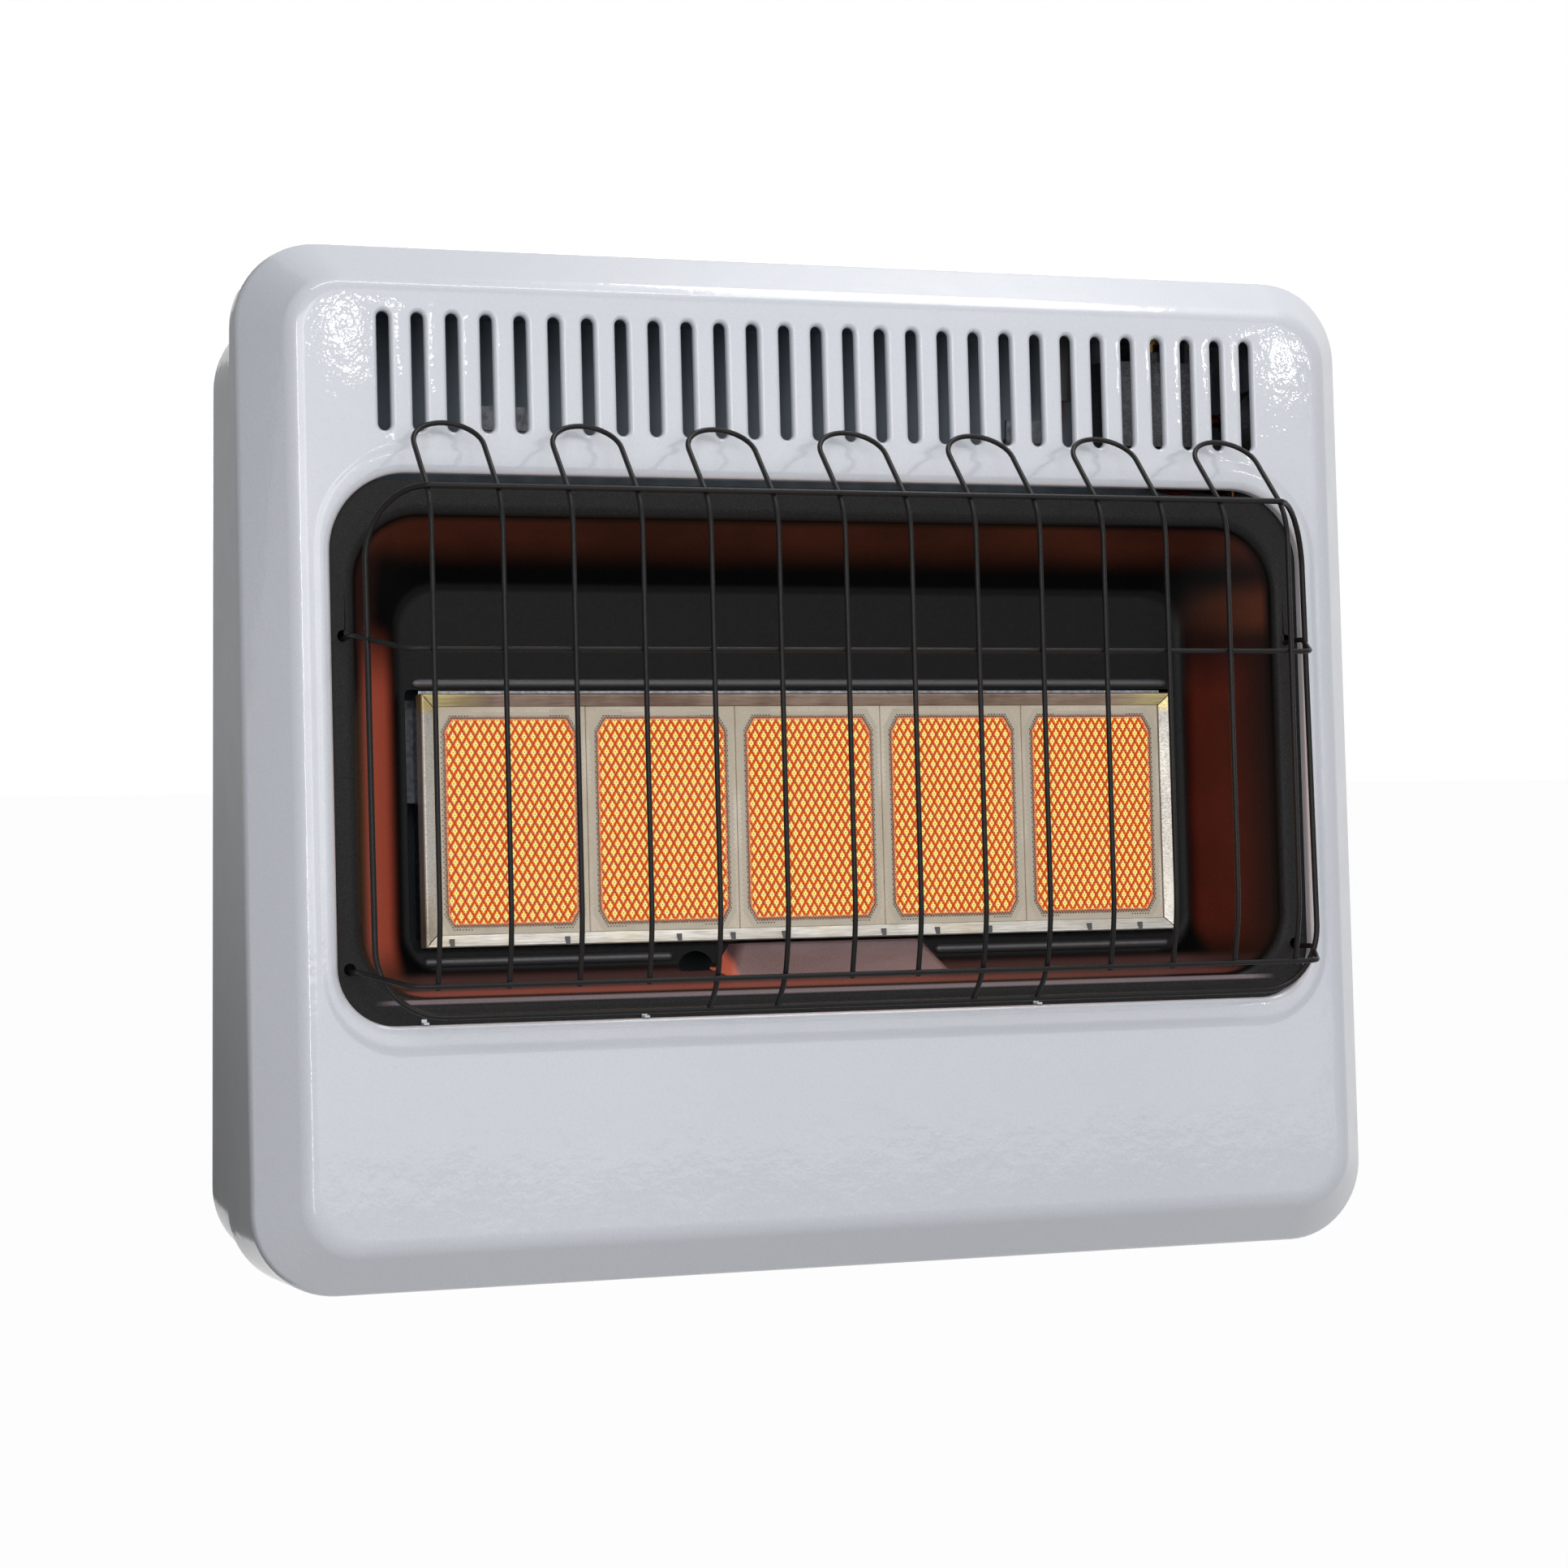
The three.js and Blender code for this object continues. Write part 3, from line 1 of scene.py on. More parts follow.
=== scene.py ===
import math
from functools import partialmethod
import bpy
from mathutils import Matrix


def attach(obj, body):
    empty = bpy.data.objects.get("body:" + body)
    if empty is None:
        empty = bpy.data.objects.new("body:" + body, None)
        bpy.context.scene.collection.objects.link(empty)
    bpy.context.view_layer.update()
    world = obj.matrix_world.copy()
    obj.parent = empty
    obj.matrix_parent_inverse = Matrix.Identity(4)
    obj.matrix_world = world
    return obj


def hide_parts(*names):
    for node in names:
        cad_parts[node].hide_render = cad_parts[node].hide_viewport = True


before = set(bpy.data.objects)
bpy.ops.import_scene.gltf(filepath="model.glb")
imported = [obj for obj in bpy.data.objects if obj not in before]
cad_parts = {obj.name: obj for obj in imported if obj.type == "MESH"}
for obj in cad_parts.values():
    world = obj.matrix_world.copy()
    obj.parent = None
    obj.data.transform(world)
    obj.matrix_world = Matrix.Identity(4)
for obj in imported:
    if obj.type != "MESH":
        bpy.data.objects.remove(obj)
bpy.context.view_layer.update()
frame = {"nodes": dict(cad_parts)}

from types import SimpleNamespace

import bpy
import bmesh
from mathutils import Matrix, Vector

nodes = frame["nodes"]
print("frame loaded,", len(nodes), "nodes")

# where things are: millimetres on the sloped front, or in the room

tilt = math.radians(6.4)
tiltSin, tiltCos = math.sin(tilt), math.cos(tilt)
wallToFront = 138.6
hangHeight = 190   # the cover's middle hangs this far below the bracket


def onFront(x, depth, z):
    y = -wallToFront + depth * tiltCos + z * tiltSin
    return Vector((x, y, z * tiltCos - depth * tiltSin - hangHeight)) / 1000


def inRoom(x, y, z):
    return Vector((x, y, z)) / 1000


def frontDirection(x, depth, z):
    return Vector((x, depth * tiltCos + z * tiltSin, z * tiltCos - depth * tiltSin)).normalized()


def depthOfPlane(y, z):   # depth on the slope of the upright plane Y = y, at height z on the slope
    return (y + wallToFront - z * tiltSin) / tiltCos


# local x right, y up the slope, z out of the front, in millimetres
frontFrame = Matrix.Translation(onFront(0, 0, 0)) @ Matrix((
    (1, 0, 0, 0),
    (0, tiltSin, -tiltCos, 0),
    (0, tiltCos, tiltSin, 0),
    (0, 0, 0, 1),
)) @ Matrix.Scale(0.001, 4)


# materials

def paint(red, green, blue):   # a colour as it is read off the photograph, to linear
    linear = [c / 12.92 if c <= 0.04045 else ((c + 0.055) / 1.055) ** 2.4 for c in (red / 255, green / 255, blue / 255)]
    return (*linear, 1.0)


class NodeMaker:   # what the trees of finishes, studio and repeated shapes share
    def __init__(self, owner):
        owner.use_nodes = True
        self.tree = owner.node_tree
        self.tree.nodes.clear()

    def add(self, kind, settings=None, **inputs):
        node = self.tree.nodes.new(kind)
        for key, value in (settings or {}).items():
            setattr(node, key, value)
        for key, value in inputs.items():
            numbered = key[0] == "i" and key[1:].isdigit()
            self.feed(node.inputs[int(key[1:]) if numbered else key.replace("_", " ")], value)
        return node

    def out(self, kind, settings=None, **inputs):   # the node's first output
        return self.add(kind, settings, **inputs).outputs[0]

    def feed(self, socket, value):
        if isinstance(value, bpy.types.NodeSocket):
            self.tree.links.new(value, socket)
        else:
            socket.default_value = value

    def combine(self, how, first, second=0.0):
        return self.out("ShaderNodeMath", {"operation": how}, i0=first, i1=second)

    plus = partialmethod(combine, "ADD")
    less = partialmethod(combine, "SUBTRACT")
    times = partialmethod(combine, "MULTIPLY")
    over = partialmethod(combine, "DIVIDE")
    lowest = partialmethod(combine, "MINIMUM")
    highest = partialmethod(combine, "MAXIMUM")
    size = partialmethod(combine, "ABSOLUTE")

    def spread(self, value, low, high, toLow=0.0, toHigh=1.0, kind="LINEAR"):
        return self.add("ShaderNodeMapRange", {"interpolation_type": kind}, Value=value, From_Min=low,
                        From_Max=high, To_Min=toLow, To_Max=toHigh).outputs["Result"]


class Finish(NodeMaker):
    def __init__(self, name, **surface):
        self.material = bpy.data.materials.new(name)
        super().__init__(self.material)
        self.surface = self.add("ShaderNodeBsdfPrincipled", **surface)
        self.add("ShaderNodeOutputMaterial", Surface=self.surface.outputs["BSDF"])
        self.place = self.add("ShaderNodeTexCoord").outputs["Object"]
        self.lastBump = None

    def stretched(self, x, y, z, turn=(0, 0, 0)):
        return self.out("ShaderNodeMapping", Vector=self.place, Scale=(x, y, z), Rotation=turn)

    def noise(self, scale, detail=3.0, roughness=0.5, distortion=0.0, at=None):
        return self.out("ShaderNodeTexNoise", Vector=at or self.place, Scale=scale, Detail=detail,
                        Roughness=roughness, Distortion=distortion)

    def cells(self, scale, at=None, randomness=1.0):
        return self.add("ShaderNodeTexVoronoi", Vector=at or self.place, Scale=scale,
                        Randomness=randomness).outputs["Distance"]

    def ramp(self, factor, *stops):
        node = self.add("ShaderNodeValToRGB", i0=factor)
        elements = node.color_ramp.elements
        while len(elements) < len(stops):
            elements.new(0.5)
        for element, (position, colour) in zip(elements, stops):
            element.position = position
            element.color = colour
        return node.outputs[0]

    def blend(self, factor, first, second, how="MIX"):
        return self.add("ShaderNodeMix", {"data_type": "RGBA", "blend_type": how},
                        i0=factor, i6=first, i7=second).outputs[2]

    def bump(self, height, strength, distance):
        inputs = {"Height": height, "Strength": strength, "Distance": distance}
        if self.lastBump:
            inputs["Normal"] = self.lastBump
        self.lastBump = self.out("ShaderNodeBump", **inputs)
        self.feed(self.surface.inputs["Normal"], self.lastBump)

    def grained(self, grain, smooth, dull, strength, depth):   # roughness and bump from one grain
        self.rough(grain, smooth, dull)
        self.bump(grain, strength, depth)
        return self.material

    def colour(self, value):
        self.feed(self.surface.inputs["Base Color"], value)

    def rough(self, value, low, high, start=0.3):
        self.feed(self.surface.inputs["Roughness"], self.spread(value, start, 0.7, low, high))

    def onSlope(self):   # across, into the casing and up the sloped front, in metres
        shift = (0, (wallToFront * tiltCos - hangHeight * tiltSin) / 1000,
                 (wallToFront * tiltSin + hangHeight * tiltCos) / 1000)
        turned = self.out("ShaderNodeMapping", Vector=self.place, Rotation=(tilt, 0, 0), Location=shift)
        return self.add("ShaderNodeSeparateXYZ", Vector=turned).outputs

    def band(self, value, start, full, end, gone):   # rises from start to full, falls from end to gone
        return self.times(self.spread(value, start, full, kind="SMOOTHSTEP"),
                          self.spread(value, end, gone, 1, 0, "SMOOTHSTEP"))

    def every(self, *factors):
        total = factors[0]
        for factor in factors[1:]:
            total = self.times(total, factor)
        return total

    def glow(self, colour):
        self.feed(self.surface.inputs["Emission Color"], colour)
        self.surface.inputs["Emission Strength"].default_value = 1.0

    def paintGlow(self, layers):   # painted glow: emission that stands for the burner's light and its reflection on the surface, one colour for each mask
        total = None
        for mask, colour in layers:
            lit = self.blend(mask, (0, 0, 0, 1), colour)
            total = lit if total is None else self.blend(1.0, total, lit, "ADD")
        self.glow(total)

    def attribute(self, name):
        return self.add("ShaderNodeAttribute", {"attribute_name": name}).outputs["Fac"]


def whiteEnamel():
    finish = Finish("whiteEnamel", Coat_Weight=0.6, Coat_Roughness=0.04, Coat_IOR=1.5)
    drift = finish.noise(2.6, 2.0)
    fine = finish.noise(950, 2.0, 0.7)
    tone = finish.ramp(drift, (0.35, paint(205, 208, 215)), (0.65, paint(211, 214, 221)))
    finish.colour(finish.blend(finish.spread(fine, 0.42, 0.62, 0.0, 0.16), tone, paint(176, 178, 184)))
    finish.rough(finish.noise(40, 2.0), 0.30, 0.38)
    finish.bump(finish.noise(22, 1.0), 0.10, 0.002)      # slow waves of the pressed sheet
    finish.bump(finish.noise(75, 3.0, 0.65), 0.13, 0.0013)
    finish.feed(finish.surface.inputs["Coat Normal"], finish.lastBump)
    finish.bump(finish.noise(480, 2.0), 0.16, 0.0004)    # orange peel of the baked enamel
    return finish.material


def darkPrimer():   # the inside of the casing, a grey darker than its white enamel: painted shade for the dark interior seen through the slots
    finish = Finish("darkPrimer", Specular_IOR_Level=0.2)
    drift = finish.noise(9, 3.0)
    finish.colour(finish.ramp(drift, (0.3, paint(112, 122, 132)), (0.7, paint(132, 142, 152))))
    return finish.grained(finish.noise(700, 2.0), 0.6, 0.8, 0.25, 0.0003)


def blackEnamel(name, base, warm, heat, gloss=0.3, coat=0.08, specks=0.35):
    finish = Finish(name, Coat_Weight=coat, Coat_Roughness=0.22, Specular_IOR_Level=gloss)
    drift = finish.noise(7, 3.0)
    speck = finish.cells(700)
    tone = finish.blend(finish.spread(drift, 0.35, 0.7, 0.0, heat), base, warm)
    tone = finish.blend(finish.spread(speck, 0.05, 0.16, specks, 0.0), tone, paint(110, 104, 102))
    finish.colour(tone)
    return finish.grained(finish.noise(900, 2.0), 0.34, 0.5, 0.22, 0.0003)


def reflectorEnamel():   # black enamel, painted near-black inside the dish as painted shade, with the burner's glow painted on its walls and floor as emission (painted reflection) and a painted highlight on the lower lip
    finish = Finish("reflectorEnamel", Specular_IOR_Level=0.09)
    across, depth, up = finish.onSlope()
    fine = finish.noise(1500, 3.0, 0.75)
    speck = finish.cells(620)
    drift = finish.noise(14, 3.0)
    # painted shade: the sheet is painted near-black deeper than the flange, and the flange at the front lighter
    flange = finish.spread(depth, 0.0085, 0.0125, 1.0, 0.0)
    tone = finish.blend(flange, paint(5, 5, 5), paint(28, 27, 28))
    lighter = finish.blend(flange, paint(22, 21, 22), paint(80, 77, 78))
    tone = finish.blend(finish.spread(fine, 0.45, 0.68, 0.0, 0.3), tone, lighter)
    tone = finish.blend(finish.spread(speck, 0.04, 0.10, 0.4, 0.0), tone, paint(96, 92, 92))
    finish.colour(tone)
    finish.grained(finish.noise(900, 2.0), 0.30, 0.46, 0.25, 0.0003)
    # painted glow and painted reflection of the burner, as emission on the dish's walls and floor, broken up by fine
    # noise
    sparkle = finish.spread(fine, 0.3, 0.7, 0.7, 1.25)
    patchy = finish.spread(drift, 0.35, 0.65, 0.55, 1.0)
    inDish = finish.spread(depth, 0.0135, 0.018)
    nearBurner = finish.band(up, -0.128, -0.095, 0.035, 0.085)

    def inside(*masks):
        return finish.every(*masks, inDish, sparkle)

    topWall = inside(finish.spread(up, 0.113, 0.131, kind="SMOOTHSTEP"), patchy)
    leftWall = inside(finish.band(across, -0.283, -0.272, -0.262, -0.2485), nearBurner)
    leftRim = inside(finish.spread(across, -0.262, -0.276))
    rightWall = inside(finish.band(across, 0.249, 0.256, 0.262, 0.284), nearBurner, patchy)
    rightPatch = inside(finish.spread(across, 0.246, 0.262), finish.band(up, 0.070, 0.088, 0.094, 0.112), patchy)
    rightRim = inside(finish.spread(across, 0.262, 0.280))
    fromMiddle = finish.size(across)
    floor = inside(finish.spread(up, -0.1165, -0.1225, kind="SMOOTHSTEP"),
                   finish.spread(fromMiddle, 0.270, 0.235, 0.25, 1.0))
    belowMouth = finish.spread(fromMiddle, 0.278, 0.262)
    mouthFloor = inside(finish.band(up, -0.1265, -0.1290, -0.1312, -0.1322), belowMouth,
                        finish.spread(across, -0.05, 0.17, 1.0, 0.3))
    # a painted highlight along the top of the lower lip
    lipHighlight = finish.every(finish.band(up, -0.1316, -0.1326, -0.1338, -0.1352), belowMouth, sparkle)
    finish.paintGlow((
        (topWall, paint(50, 20, 11)), (leftWall, paint(134, 58, 42)), (leftRim, paint(32, 13, 10)),
        (rightWall, paint(78, 23, 9)), (rightPatch, paint(62, 30, 17)), (rightRim, paint(24, 9, 6)),
        (floor, paint(62, 40, 37)), (mouthFloor, paint(104, 44, 34)), (lipHighlight, paint(112, 98, 102)),
    ))
    return finish.material


def hoodEnamel():   # thin dark sheet, its base colour a dusky violet that is painted reflection of the burner's glow, with painted glow at its turned sides
    finish = Finish("hoodEnamel", Coat_Weight=0.12, Coat_Roughness=0.25, Specular_IOR_Level=0.4)
    across, _, up = finish.onSlope()
    fine = finish.noise(1300, 3.0, 0.75)
    drift = finish.noise(24, 3.0, 0.6, at=finish.stretched(0.5, 1.0, 2.0))
    # painted reflection: the violet base colour stands for the burner's glow on the dark sheet
    tone = finish.blend(finish.spread(drift, 0.35, 0.65), paint(82, 60, 62), paint(104, 82, 84))
    tone = finish.blend(finish.spread(fine, 0.45, 0.68, 0.0, 0.4), tone, paint(140, 116, 116))
    finish.colour(tone)
    finish.grained(fine, 0.32, 0.48, 0.25, 0.0003)
    # painted glow of the burner on the hood's turned sides, and a faint painted glow all over
    left = finish.spread(across, -0.0525, -0.0555)
    right = finish.spread(finish.plus(across, finish.times(up, 0.85)), -0.0232, -0.0198, 0.0, 1.0)
    finish.paintGlow(((left, paint(150, 62, 34)), (right, paint(112, 46, 28)), (1.0, paint(26, 14, 14))))
    return finish.material


def heatedSteel():
    finish = Finish("heatedSteel", Metallic=0.5)
    across, _, up = finish.onSlope()
    brushed = finish.noise(60, 4.0, 0.6, at=finish.stretched(1.0, 18.0, 18.0))
    drift = finish.noise(16, 3.0, 0.6)
    tone = finish.ramp(drift, (0.30, paint(158, 154, 148)), (0.45, paint(186, 181, 172)),
                       (0.56, paint(198, 195, 188)), (0.68, paint(190, 182, 164)), (0.80, paint(160, 146, 136)))
    high = finish.spread(up, 0.030, 0.034)       # the top strip is scorched bronze, its ends straw yellow
    bronze = finish.ramp(finish.noise(22, 3.0, 0.6), (0.35, paint(122, 98, 84)), (0.65, paint(164, 142, 128)))
    straw = finish.spread(finish.size(across), 0.195, 0.226, 0.0, 0.8)
    tone = finish.blend(high, tone, finish.blend(straw, bronze, paint(206, 190, 132)))
    tone = finish.blend(finish.spread(brushed, 0.4, 0.7, 0.0, 0.4), tone, paint(110, 98, 90), "MULTIPLY")
    finish.colour(tone)
    return finish.grained(brushed, 0.26, 0.44, 0.12, 0.0003)


def ceramic():
    finish = Finish("ceramic")
    grain = finish.noise(1400, 3.0, 0.7)
    drift = finish.noise(30, 3.0)
    tone = finish.ramp(drift, (0.3, paint(206, 192, 170)), (0.6, paint(224, 211, 192)), (0.8, paint(232, 222, 208)))
    finish.colour(finish.blend(finish.spread(grain, 0.3, 0.5, 0.35, 0.0), tone, paint(140, 126, 104)))
    return finish.grained(grain, 0.8, 0.95, 0.4, 0.0003)


def metal(name, light, dark, roughLow, roughHigh, grainScale, metallic=1.0, grainDepth=0.0002):
    finish = Finish(name, Metallic=metallic)
    grain = finish.noise(grainScale, 3.0, 0.6)
    patches = finish.cells(grainScale * 0.2)
    tone = finish.blend(finish.spread(grain, 0.3, 0.7), dark, light)
    finish.colour(finish.blend(finish.spread(patches, 0.0, 0.8, 0.25, 0.0), tone, dark))
    return finish.grained(grain, roughHigh, roughLow, 0.2, grainDepth)


def moulded(name, base, worn):
    finish = Finish(name)
    grain = finish.noise(1100, 2.0)
    drift = finish.noise(60, 3.0)
    finish.colour(finish.blend(finish.spread(drift, 0.4, 0.75, 0.0, 0.5), base, worn))
    return finish.grained(grain, 0.34, 0.52, 0.3, 0.0002)


def fibre(name, base, dark, scale):
    finish = Finish(name)
    strands = finish.noise(scale, 5.0, 0.75, 1.2, at=finish.stretched(1.0, 3.0, 0.6, (0.5, 0.4, 0.8)))
    finish.colour(finish.ramp(strands, (0.3, dark), (0.7, base)))
    return finish.grained(strands, 0.95, 0.8, 0.6, 0.0005)


def braidedSleeve(name, base, dark):
    finish = Finish(name)
    weave = finish.cells(1400, at=finish.stretched(1.0, 1.0, 0.6), randomness=0.2)
    finish.colour(finish.ramp(weave, (0.15, base), (0.6, dark)))
    finish.rough(weave, 0.45, 0.75, 0.0)
    finish.bump(finish.spread(weave, 0.0, 0.7, 1.0, 0.0), 0.5, 0.0003)
    return finish.material


plaqueSizes = {
    "pitch": 5.3 / 3, "rowStep": 1.5, "holeRadius": 0.54, "holeDepth": 1.0, "groove": 0.34,
    "diamondWidth": 5.3, "diamondHeight": 9.0, "halfWidth": 40.7, "halfHeight": 61.2, "corner": 9.0,
    "face": 60.7, "back": 73.7, "middle": -30.5, "fieldMiddle": -31.9, "spacing": 92.0, "width": 91.7, "height": 131.7,
    "coldColumns": (1.9, 1.1, 1.1, 1.1, 1.3), "edge": 0.5, "softEdge": (0.35, 0.4),
    "border": (1.4, 2.0, -1.0), "behindFace": 0.03,
}


def glowingCeramic():
    finish = Finish("glowingCeramic", Roughness=0.9, Specular_IOR_Level=0.05)
    glow = finish.attribute("glow")          # 0 where no gas burns, 1 in the hot middle
    web = finish.attribute("web")            # 0 on the webs between diamonds, 1 inside a diamond
    sunk = finish.attribute("sunk")          # 1 at the bottom of a hole
    heat = finish.attribute("heat")          # each diamond burns a little differently
    grain = finish.noise(1500, 2.0)
    diamond = finish.ramp(finish.plus(web, finish.spread(heat, 0, 1, -0.08, 0.08)),
                          (0.08, paint(206, 52, 14)), (0.24, paint(242, 104, 30)),
                          (0.5, paint(255, 182, 72)), (0.9, paint(255, 244, 140)))
    hole = finish.blend(web, paint(130, 20, 6), paint(172, 92, 10))
    hot = finish.blend(finish.spread(sunk, 0.0, 0.35), diamond, hole)
    edge = finish.blend(finish.spread(sunk, 0.0, 0.35), paint(240, 138, 100), paint(60, 10, 4))
    burning = finish.blend(finish.spread(glow, 0.58, 0.86), edge, hot)
    lit = finish.spread(glow, 0.45, 0.58)
    # the unburnt border is browner towards the burning field
    nearFieldTone = finish.blend(finish.spread(glow, 0.05, 0.42), paint(206, 196, 178), paint(150, 104, 80))
    # painted shade: the hole bottoms in the unburnt border are painted near-black
    cold = finish.blend(finish.spread(sunk, 0.0, 0.15), nearFieldTone, paint(14, 8, 7))
    finish.colour(finish.blend(lit, cold, paint(50, 24, 16)))
    finish.glow(finish.blend(lit, (0, 0, 0, 1), burning))
    finish.bump(grain, 0.3, 0.0002)
    return finish.material


finishes = {
    "white_enamel": whiteEnamel(),
    "black_enamel": blackEnamel("blackEnamel", paint(26, 25, 26), paint(40, 30, 28), 0.6),
    "bright_steel": heatedSteel(),
    "zinc_steel": metal("zincSteel", paint(128, 131, 136), paint(92, 94, 100), 0.34, 0.5, 260),
    "ceramic": ceramic(),
    "plaque_glow": glowingCeramic(),
    "gasket_fibre": fibre("gasketFibre", paint(216, 210, 196), paint(170, 160, 142), 500),
    "brass": metal("brass", paint(214, 178, 104), paint(160, 122, 62), 0.24, 0.42, 300),
    "die_cast": metal("dieCast", paint(120, 122, 126), paint(84, 86, 90), 0.44, 0.62, 900, 0.8, 0.0004),
    "black_plastic": moulded("blackPlastic", paint(28, 28, 30), paint(46, 45, 46)),
    "red_plastic": moulded("redPlastic", paint(168, 24, 22), paint(190, 50, 44)),
    "copper_tube": metal("copperTube", paint(206, 126, 88), paint(140, 74, 48), 0.24, 0.44, 220),
    "lead_sleeve": braidedSleeve("leadSleeve", paint(150, 44, 36), paint(84, 20, 18)),
}
# the grey inside of the casing: painted shade
insideShade = darkPrimer()
reflectorFinish = reflectorEnamel()
hoodFinish = hoodEnamel()
# a lighter copy of the reflector's black enamel: painted highlight on the pressed ribs, and painted shade on the
# frame's notch blocks
beadHighlightNotchShade = blackEnamel("beadEnamel", paint(46, 46, 50), paint(58, 50, 50), 0.5, 0.6)
guardFinish = blackEnamel("guardEnamel", paint(15, 14, 15), paint(26, 21, 20), 0.7, 0.16, 0.03, 0.2)

for name, node in nodes.items():   # the CAD nodes that stay get the detailed finishes
    slots = node.data.materials
    for i, old in enumerate(slots):
        key = old.name.split(".")[0] if old else ""
        slots[i] = finishes.get(key, finishes["zinc_steel"])
        if key not in finishes:
            print("no finish named", key, "for", name)
print("finishes made,", len(finishes) + 5)


def roundedRing(halfWidth, top, bottom, topRadius, bottomRadius, depth, steps=16, middle=0.0):
    points = []
    corners = ((1, top, -1, topRadius, 0), (-1, top, -1, topRadius, 90),
               (-1, bottom, 1, bottomRadius, 180), (1, bottom, 1, bottomRadius, 270))
    for side, z, inward, radius, start in corners:
        for k in range(steps + 1):
            angle = math.radians(start + 90 * k / steps)
            x = middle + side * (halfWidth - radius) + radius * math.cos(angle)
            height = z + inward * radius + radius * math.sin(angle)
            points.append((x, depth(height) if callable(depth) else depth, height))
    return points


def slotRing(half, top, bottom, depth, middle, radius=None):   # a slot with round ends
    radius = (radius or half) - 0.01
    return roundedRing(half, top, bottom, radius, radius, depth, 5, middle)


def circleRing(x, z, radius, depth, sides=28):
    return [(x + radius * math.cos(2 * math.pi * k / sides), depth, z + radius * math.sin(2 * math.pi * k / sides))
            for k in range(sides)]


def fillet(corner, before, after, steps=5):   # a quadratic bend round a profile's corner
    points = []
    for t in [k / steps for k in range(steps + 1)]:
        points.append(tuple((1 - t) ** 2 * a + 2 * t * (1 - t) * c + t * t * b
                            for a, c, b in zip(before, corner, after)))
    return points


def newPiece(name, data):
    piece = bpy.data.objects.new(name, data)
    bpy.context.scene.collection.objects.link(piece)
    return piece


class SheetMetal:
    def __init__(self, place=onFront):
        self.mesh = bmesh.new()
        self.place = place

    def ring(self, points):
        return [self.mesh.verts.new(self.place(*p)) for p in points]

    def join(self, inner, outer):
        count = len(inner)
        for i in range(count):
            after = (i + 1) % count
            self.mesh.faces.new((inner[i], outer[i], outer[after], inner[after]))

    def joinAll(self, rings):   # from the innermost ring to the outermost; returns both
        made = [self.ring(points) for points in rings]
        for inner, outer in zip(made, made[1:]):
            self.join(inner, outer)
        return made[0], made[-1]

    def strips(self, lines):   # faces between rows of corners that aren't closed rings
        for before, after in zip(lines, lines[1:]):
            for k in range(len(before) - 1):
                self.mesh.faces.new((before[k], before[k + 1], after[k + 1], after[k]))

    def plate(self, loops, facing):
        edges = []
        for loop in loops:
            for a, b in zip(loop, loop[1:] + loop[:1]):
                edges.append(self.mesh.edges.get((a, b)) or self.mesh.edges.new((a, b)))
        made = bmesh.ops.triangle_fill(self.mesh, use_beauty=True, use_dissolve=False, edges=edges, normal=facing)
        faces = [g for g in made["geom"] if isinstance(g, bmesh.types.BMFace)]
        for face in faces:
            face.normal_update()
            if face.normal.dot(facing) < 0:
                face.normal_flip()

    def finish(self, name, material, thickness=0.0, sharp=38, inside=None):
        data = bpy.data.meshes.new(name)
        self.mesh.normal_update()
        self.mesh.to_mesh(data)
        self.mesh.free()
        data.materials.append(material)
        if inside:
            data.materials.append(inside)
        piece = newPiece(name, data)
        if thickness:
            wall = piece.modifiers.new("wall", "SOLIDIFY")
            wall.material_offset = 1 if inside else 0
            wall.thickness = thickness / 1000
            wall.offset = -1
            wall.use_even_offset = True
            settle(piece)
        smoothen(piece, sharp)
        return piece


def settle(piece):   # the result of the modifiers becomes the piece's own mesh
    graph = bpy.context.evaluated_depsgraph_get()
    made = bpy.data.meshes.new_from_object(piece.evaluated_get(graph), preserve_all_data_layers=True, depsgraph=graph)
    piece.modifiers.clear()
    old = piece.data
    piece.data = made
    made.name = piece.name
    if old.users == 0:
        bpy.data.meshes.remove(old)


def smoothen(piece, sharp):
    piece.data.shade_smooth()
    piece.data.set_sharp_from_angle(angle=math.radians(sharp))
    weighted = piece.modifiers.new("weighted", "WEIGHTED_NORMAL")
    weighted.keep_sharp = True
    weighted.weight = 70


def place(piece, body, slotName, *replaced):
    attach(piece, body)
    if replaced:
        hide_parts(*replaced)
    return piece


facingRoom = frontDirection(0, -1, 0)

# front cover: one pressed sheet with a folded rim, a window and vent slots

coverSizes = {
    "halfWidth": 344.9, "halfHeight": 295.75, "sheet": 1.2, "rearEdge": -63.6,
    "cornerRadius": 48.0, "radiusDrop": 0.7, "edgeRoll": 1.2,
    "plateFold": ((26.3, 0.0), (33.4, 0.0), (21.9, 5.5), 7), "rimFold": ((0.0, 32.84), (2.4, 29.85), (0.0, 36.7), 6),
    "window": (300.0, 162.0, -146.0, 45.0, 33.0),
    "windowSteps": ((0.0, 7.7), (0.0, 3.0), (0.25, 1.85), (1.2, 0.75), (2.6, 0.1), (5.0, -0.4), (9.0, -0.62),
                    (12.0, -0.6), (14.0, -0.34), (16.0, -0.06), (17.5, 0.0)),
    "sideShare": 0.5, "slotCount": 28, "slotPitch": 19.8, "slotTop": 252.4, "slotBottom": 185.4, "slotHalf": 3.7,
    "slotSteps": ((0.0, 4.2), (0.0, 2.7), (0.25, 1.6), (0.9, 0.7), (1.7, 0.2), (2.6, 0.0)),
}


